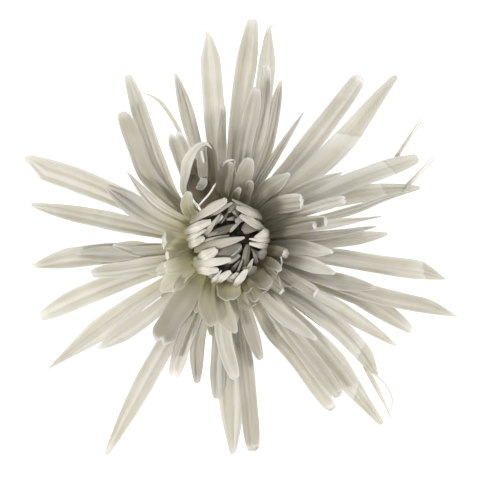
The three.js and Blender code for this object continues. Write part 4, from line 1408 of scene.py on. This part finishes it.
class FLOWER_OT_bracts(bpy.types.Operator):
    """Grows the green bracts and the cup that they clasp"""

    bl_idname = "flower.bracts"
    bl_label = "Bracts"

    def execute(self, context):
        blank, draw = start_blades("bracts")
        bracts = []
        for row in BRACT_ROWS:
            foot, tip = row["foot"], row["tip"]
            bulge = (mix(foot[0], tip[0], 0.56) + BRACT_BULGE, mix(foot[1], tip[1], 0.44))
            for i in range(BRACTS_PER_ROW):
                bearing = (i + row["turn"]) * 360 / BRACTS_PER_ROW + draw(*BRACT_SPREAD)
                points = [(*polar(r, bearing), z) for r, z in (foot, bulge, tip)]
                spine = Spine(curve_through(points)[0])
                shaped = shape_floret(blank, spine, row["width"], "tongue", BRACT_FORM, draw)
                bracts.append(copy_of(blank, shaped, draw(), 1.0, 0.0))
        grow("bracts", blank, bracts, context.scene.flower_sizes.bract_thickness, "bract_green",
             bract_finish(), "involucre")
        domed_piece("bract_cup", BRACT_CUP, cup_finish(), "bract_green")
        return {"FINISHED"}


STEM_RADIUS = 2.7
STEM_TOP = 6.0
STEM_RIDGES = 7
SIDES_PER_RIDGE = 12
STEM_RIDGE_DEPTH = 0.25
CUT_RIM = 0.35  # width of the skin round the cut face
PITH_RIM = 0.5
PITH_DEPTH = 0.12


class FLOWER_OT_stem(bpy.types.Operator):
    """Makes the short stub of the stem, with its cut face"""

    bl_idname = "flower.stem"
    bl_label = "Stem stub"

    def execute(self, context):
        deselect()
        centre = (AXIS[0] * MM, AXIS[1] * MM, STEM_TOP / 2 * MM)
        bpy.ops.mesh.primitive_cylinder_add(
            vertices=STEM_RIDGES * SIDES_PER_RIDGE, radius=STEM_RADIUS * MM, depth=STEM_TOP * MM,
            location=centre, end_fill_type="NGON",
        )
        stub = new_object("stem_stub")
        bpy.ops.object.transform_apply(location=True)
        bpy.ops.object.mode_set(mode="EDIT")
        bpy.ops.mesh.select_all(action="DESELECT")
        bpy.ops.object.mode_set(mode="OBJECT")
        for face in stub.data.polygons:
            face.select = face.normal.z < -0.9
        bpy.ops.object.mode_set(mode="EDIT")
        bpy.ops.mesh.select_mode(type="FACE")
        bpy.ops.mesh.inset(thickness=CUT_RIM * MM)
        bpy.ops.mesh.inset(thickness=PITH_RIM * MM, depth=-PITH_DEPTH * MM)
        bpy.ops.object.mode_set(mode="OBJECT")
        stub.data.materials.append(stem_finish())
        stub.data.materials.append(pith_finish())
        co = coordinates(stub)
        x, y = co[:, 0] - AXIS[0] * MM, co[:, 1] - AXIS[1] * MM
        angle = np.arctan2(y, x)
        swell = 1 + STEM_RIDGE_DEPTH / STEM_RADIUS * np.cos(angle * STEM_RIDGES)
        co[:, 0], co[:, 1] = AXIS[0] * MM + x * swell, AXIS[1] * MM + y * swell
        stub.data.vertices.foreach_set("co", co.ravel())
        for face in stub.data.polygons:
            face.material_index = 1 if face.normal.z < -0.5 else 0
            face.use_smooth = abs(face.normal.z) < 0.5
        stub.data.update()
        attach(stub, BODY)
        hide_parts("stem")
        return {"FINISHED"}


TABLE_SIZE = 4.0  # m
AIM_HEIGHT = 0.02  # m above the table, where the lights aim
# Where each soft light stands, how high (degrees), its strength and how wide it is (degrees).
LIGHTS = {
    "key_light": {"bearing": 215, "lift": 44, "strength": 2.1, "spread": 12},
    "fill_light": {"bearing": 25, "lift": 32, "strength": 1.45, "spread": 50},
}
LIGHT_COLOUR = (1.0, 0.985, 0.96)
ROOM_COLOUR = (0.97, 0.98, 1.0, 1.0)
ROOM_STRENGTH = 0.42
VIEW_CENTRE = (3.3, 0.9)  # the middle of the framed view, from the flower's axis


class FLOWER_OT_stage(bpy.types.Operator):
    """Sets the pale table, the soft light from the lower left and the camera above"""

    bl_idname = "flower.stage"
    bl_label = "Stage"

    def execute(self, context):
        scene = context.scene
        sizes = scene.flower_sizes
        deselect()
        bpy.ops.mesh.primitive_plane_add(size=TABLE_SIZE)
        table = new_object("table_top")
        table.data.materials.append(floor_finish())
        centre = Vector((AXIS[0] * MM, AXIS[1] * MM, AIM_HEIGHT))
        for name, facts in LIGHTS.items():
            lamp = bpy.data.lights.new(name, "SUN")
            lamp.energy = facts["strength"]
            lamp.angle = math.radians(facts["spread"])
            lamp.color = LIGHT_COLOUR
            holder = bpy.data.objects.new(name, lamp)
            lift = math.radians(facts["lift"])
            towards = Vector((*polar(math.cos(lift), facts["bearing"]), math.sin(lift)))
            holder.location = centre + towards
            holder.rotation_euler = (-towards).to_track_quat("-Z", "Y").to_euler()
            scene.collection.objects.link(holder)
        world = bpy.data.worlds.new("pale_room")
        world.use_nodes = True
        backdrop = world.node_tree.nodes["Background"]
        backdrop.inputs["Color"].default_value = ROOM_COLOUR
        backdrop.inputs["Strength"].default_value = ROOM_STRENGTH
        scene.world = world
        scene.view_settings.view_transform = "Standard"
        camera = bpy.data.cameras.new("camera_above")
        camera.lens = camera.sensor_width * sizes.camera_height / sizes.framed_width
        holder = bpy.data.objects.new("camera_above", camera)
        holder.location = (
            (AXIS[0] + VIEW_CENTRE[0]) * MM, (AXIS[1] + VIEW_CENTRE[1]) * MM, sizes.camera_height,
        )
        scene.collection.objects.link(holder)
        scene.camera = holder
        return {"FINISHED"}


class FLOWER_PT_panel(bpy.types.Panel):
    """Lists the flower's steps and settings"""

    bl_idname = "FLOWER_PT_panel"
    bl_label = "Spider chrysanthemum"
    bl_space_type = "VIEW_3D"
    bl_region_type = "UI"
    bl_category = "Flower"

    def draw(self, context):
        for step in STEPS:
            self.layout.operator(step.bl_idname)
        for group in (context.scene.flower_sizes, context.scene.flower_colours):
            for name in group.__annotations__:
                self.layout.prop(group, name)


STEPS = (
    FLOWER_OT_stage,
    FLOWER_OT_stem,
    FLOWER_OT_bracts,
    FLOWER_OT_receptacle,
    FLOWER_OT_outer_whorl,
    FLOWER_OT_middle_whorl,
    FLOWER_OT_upper_whorl,
    FLOWER_OT_strays,
    FLOWER_OT_heart,
)
CLASSES = (FlowerSizes, FlowerColours, *STEPS, FLOWER_PT_panel)


def register():
    for cls in CLASSES:
        bpy.utils.register_class(cls)
    bpy.types.Scene.flower_sizes = bpy.props.PointerProperty(type=FlowerSizes)
    bpy.types.Scene.flower_colours = bpy.props.PointerProperty(type=FlowerColours)


def unregister():
    del bpy.types.Scene.flower_colours
    del bpy.types.Scene.flower_sizes
    for cls in reversed(CLASSES):
        bpy.utils.unregister_class(cls)


def main():
    register()
    for step in STEPS:
        group, name = step.bl_idname.split(".")
        getattr(getattr(bpy.ops, group), name)()


if __name__ == "__main__":
    main()
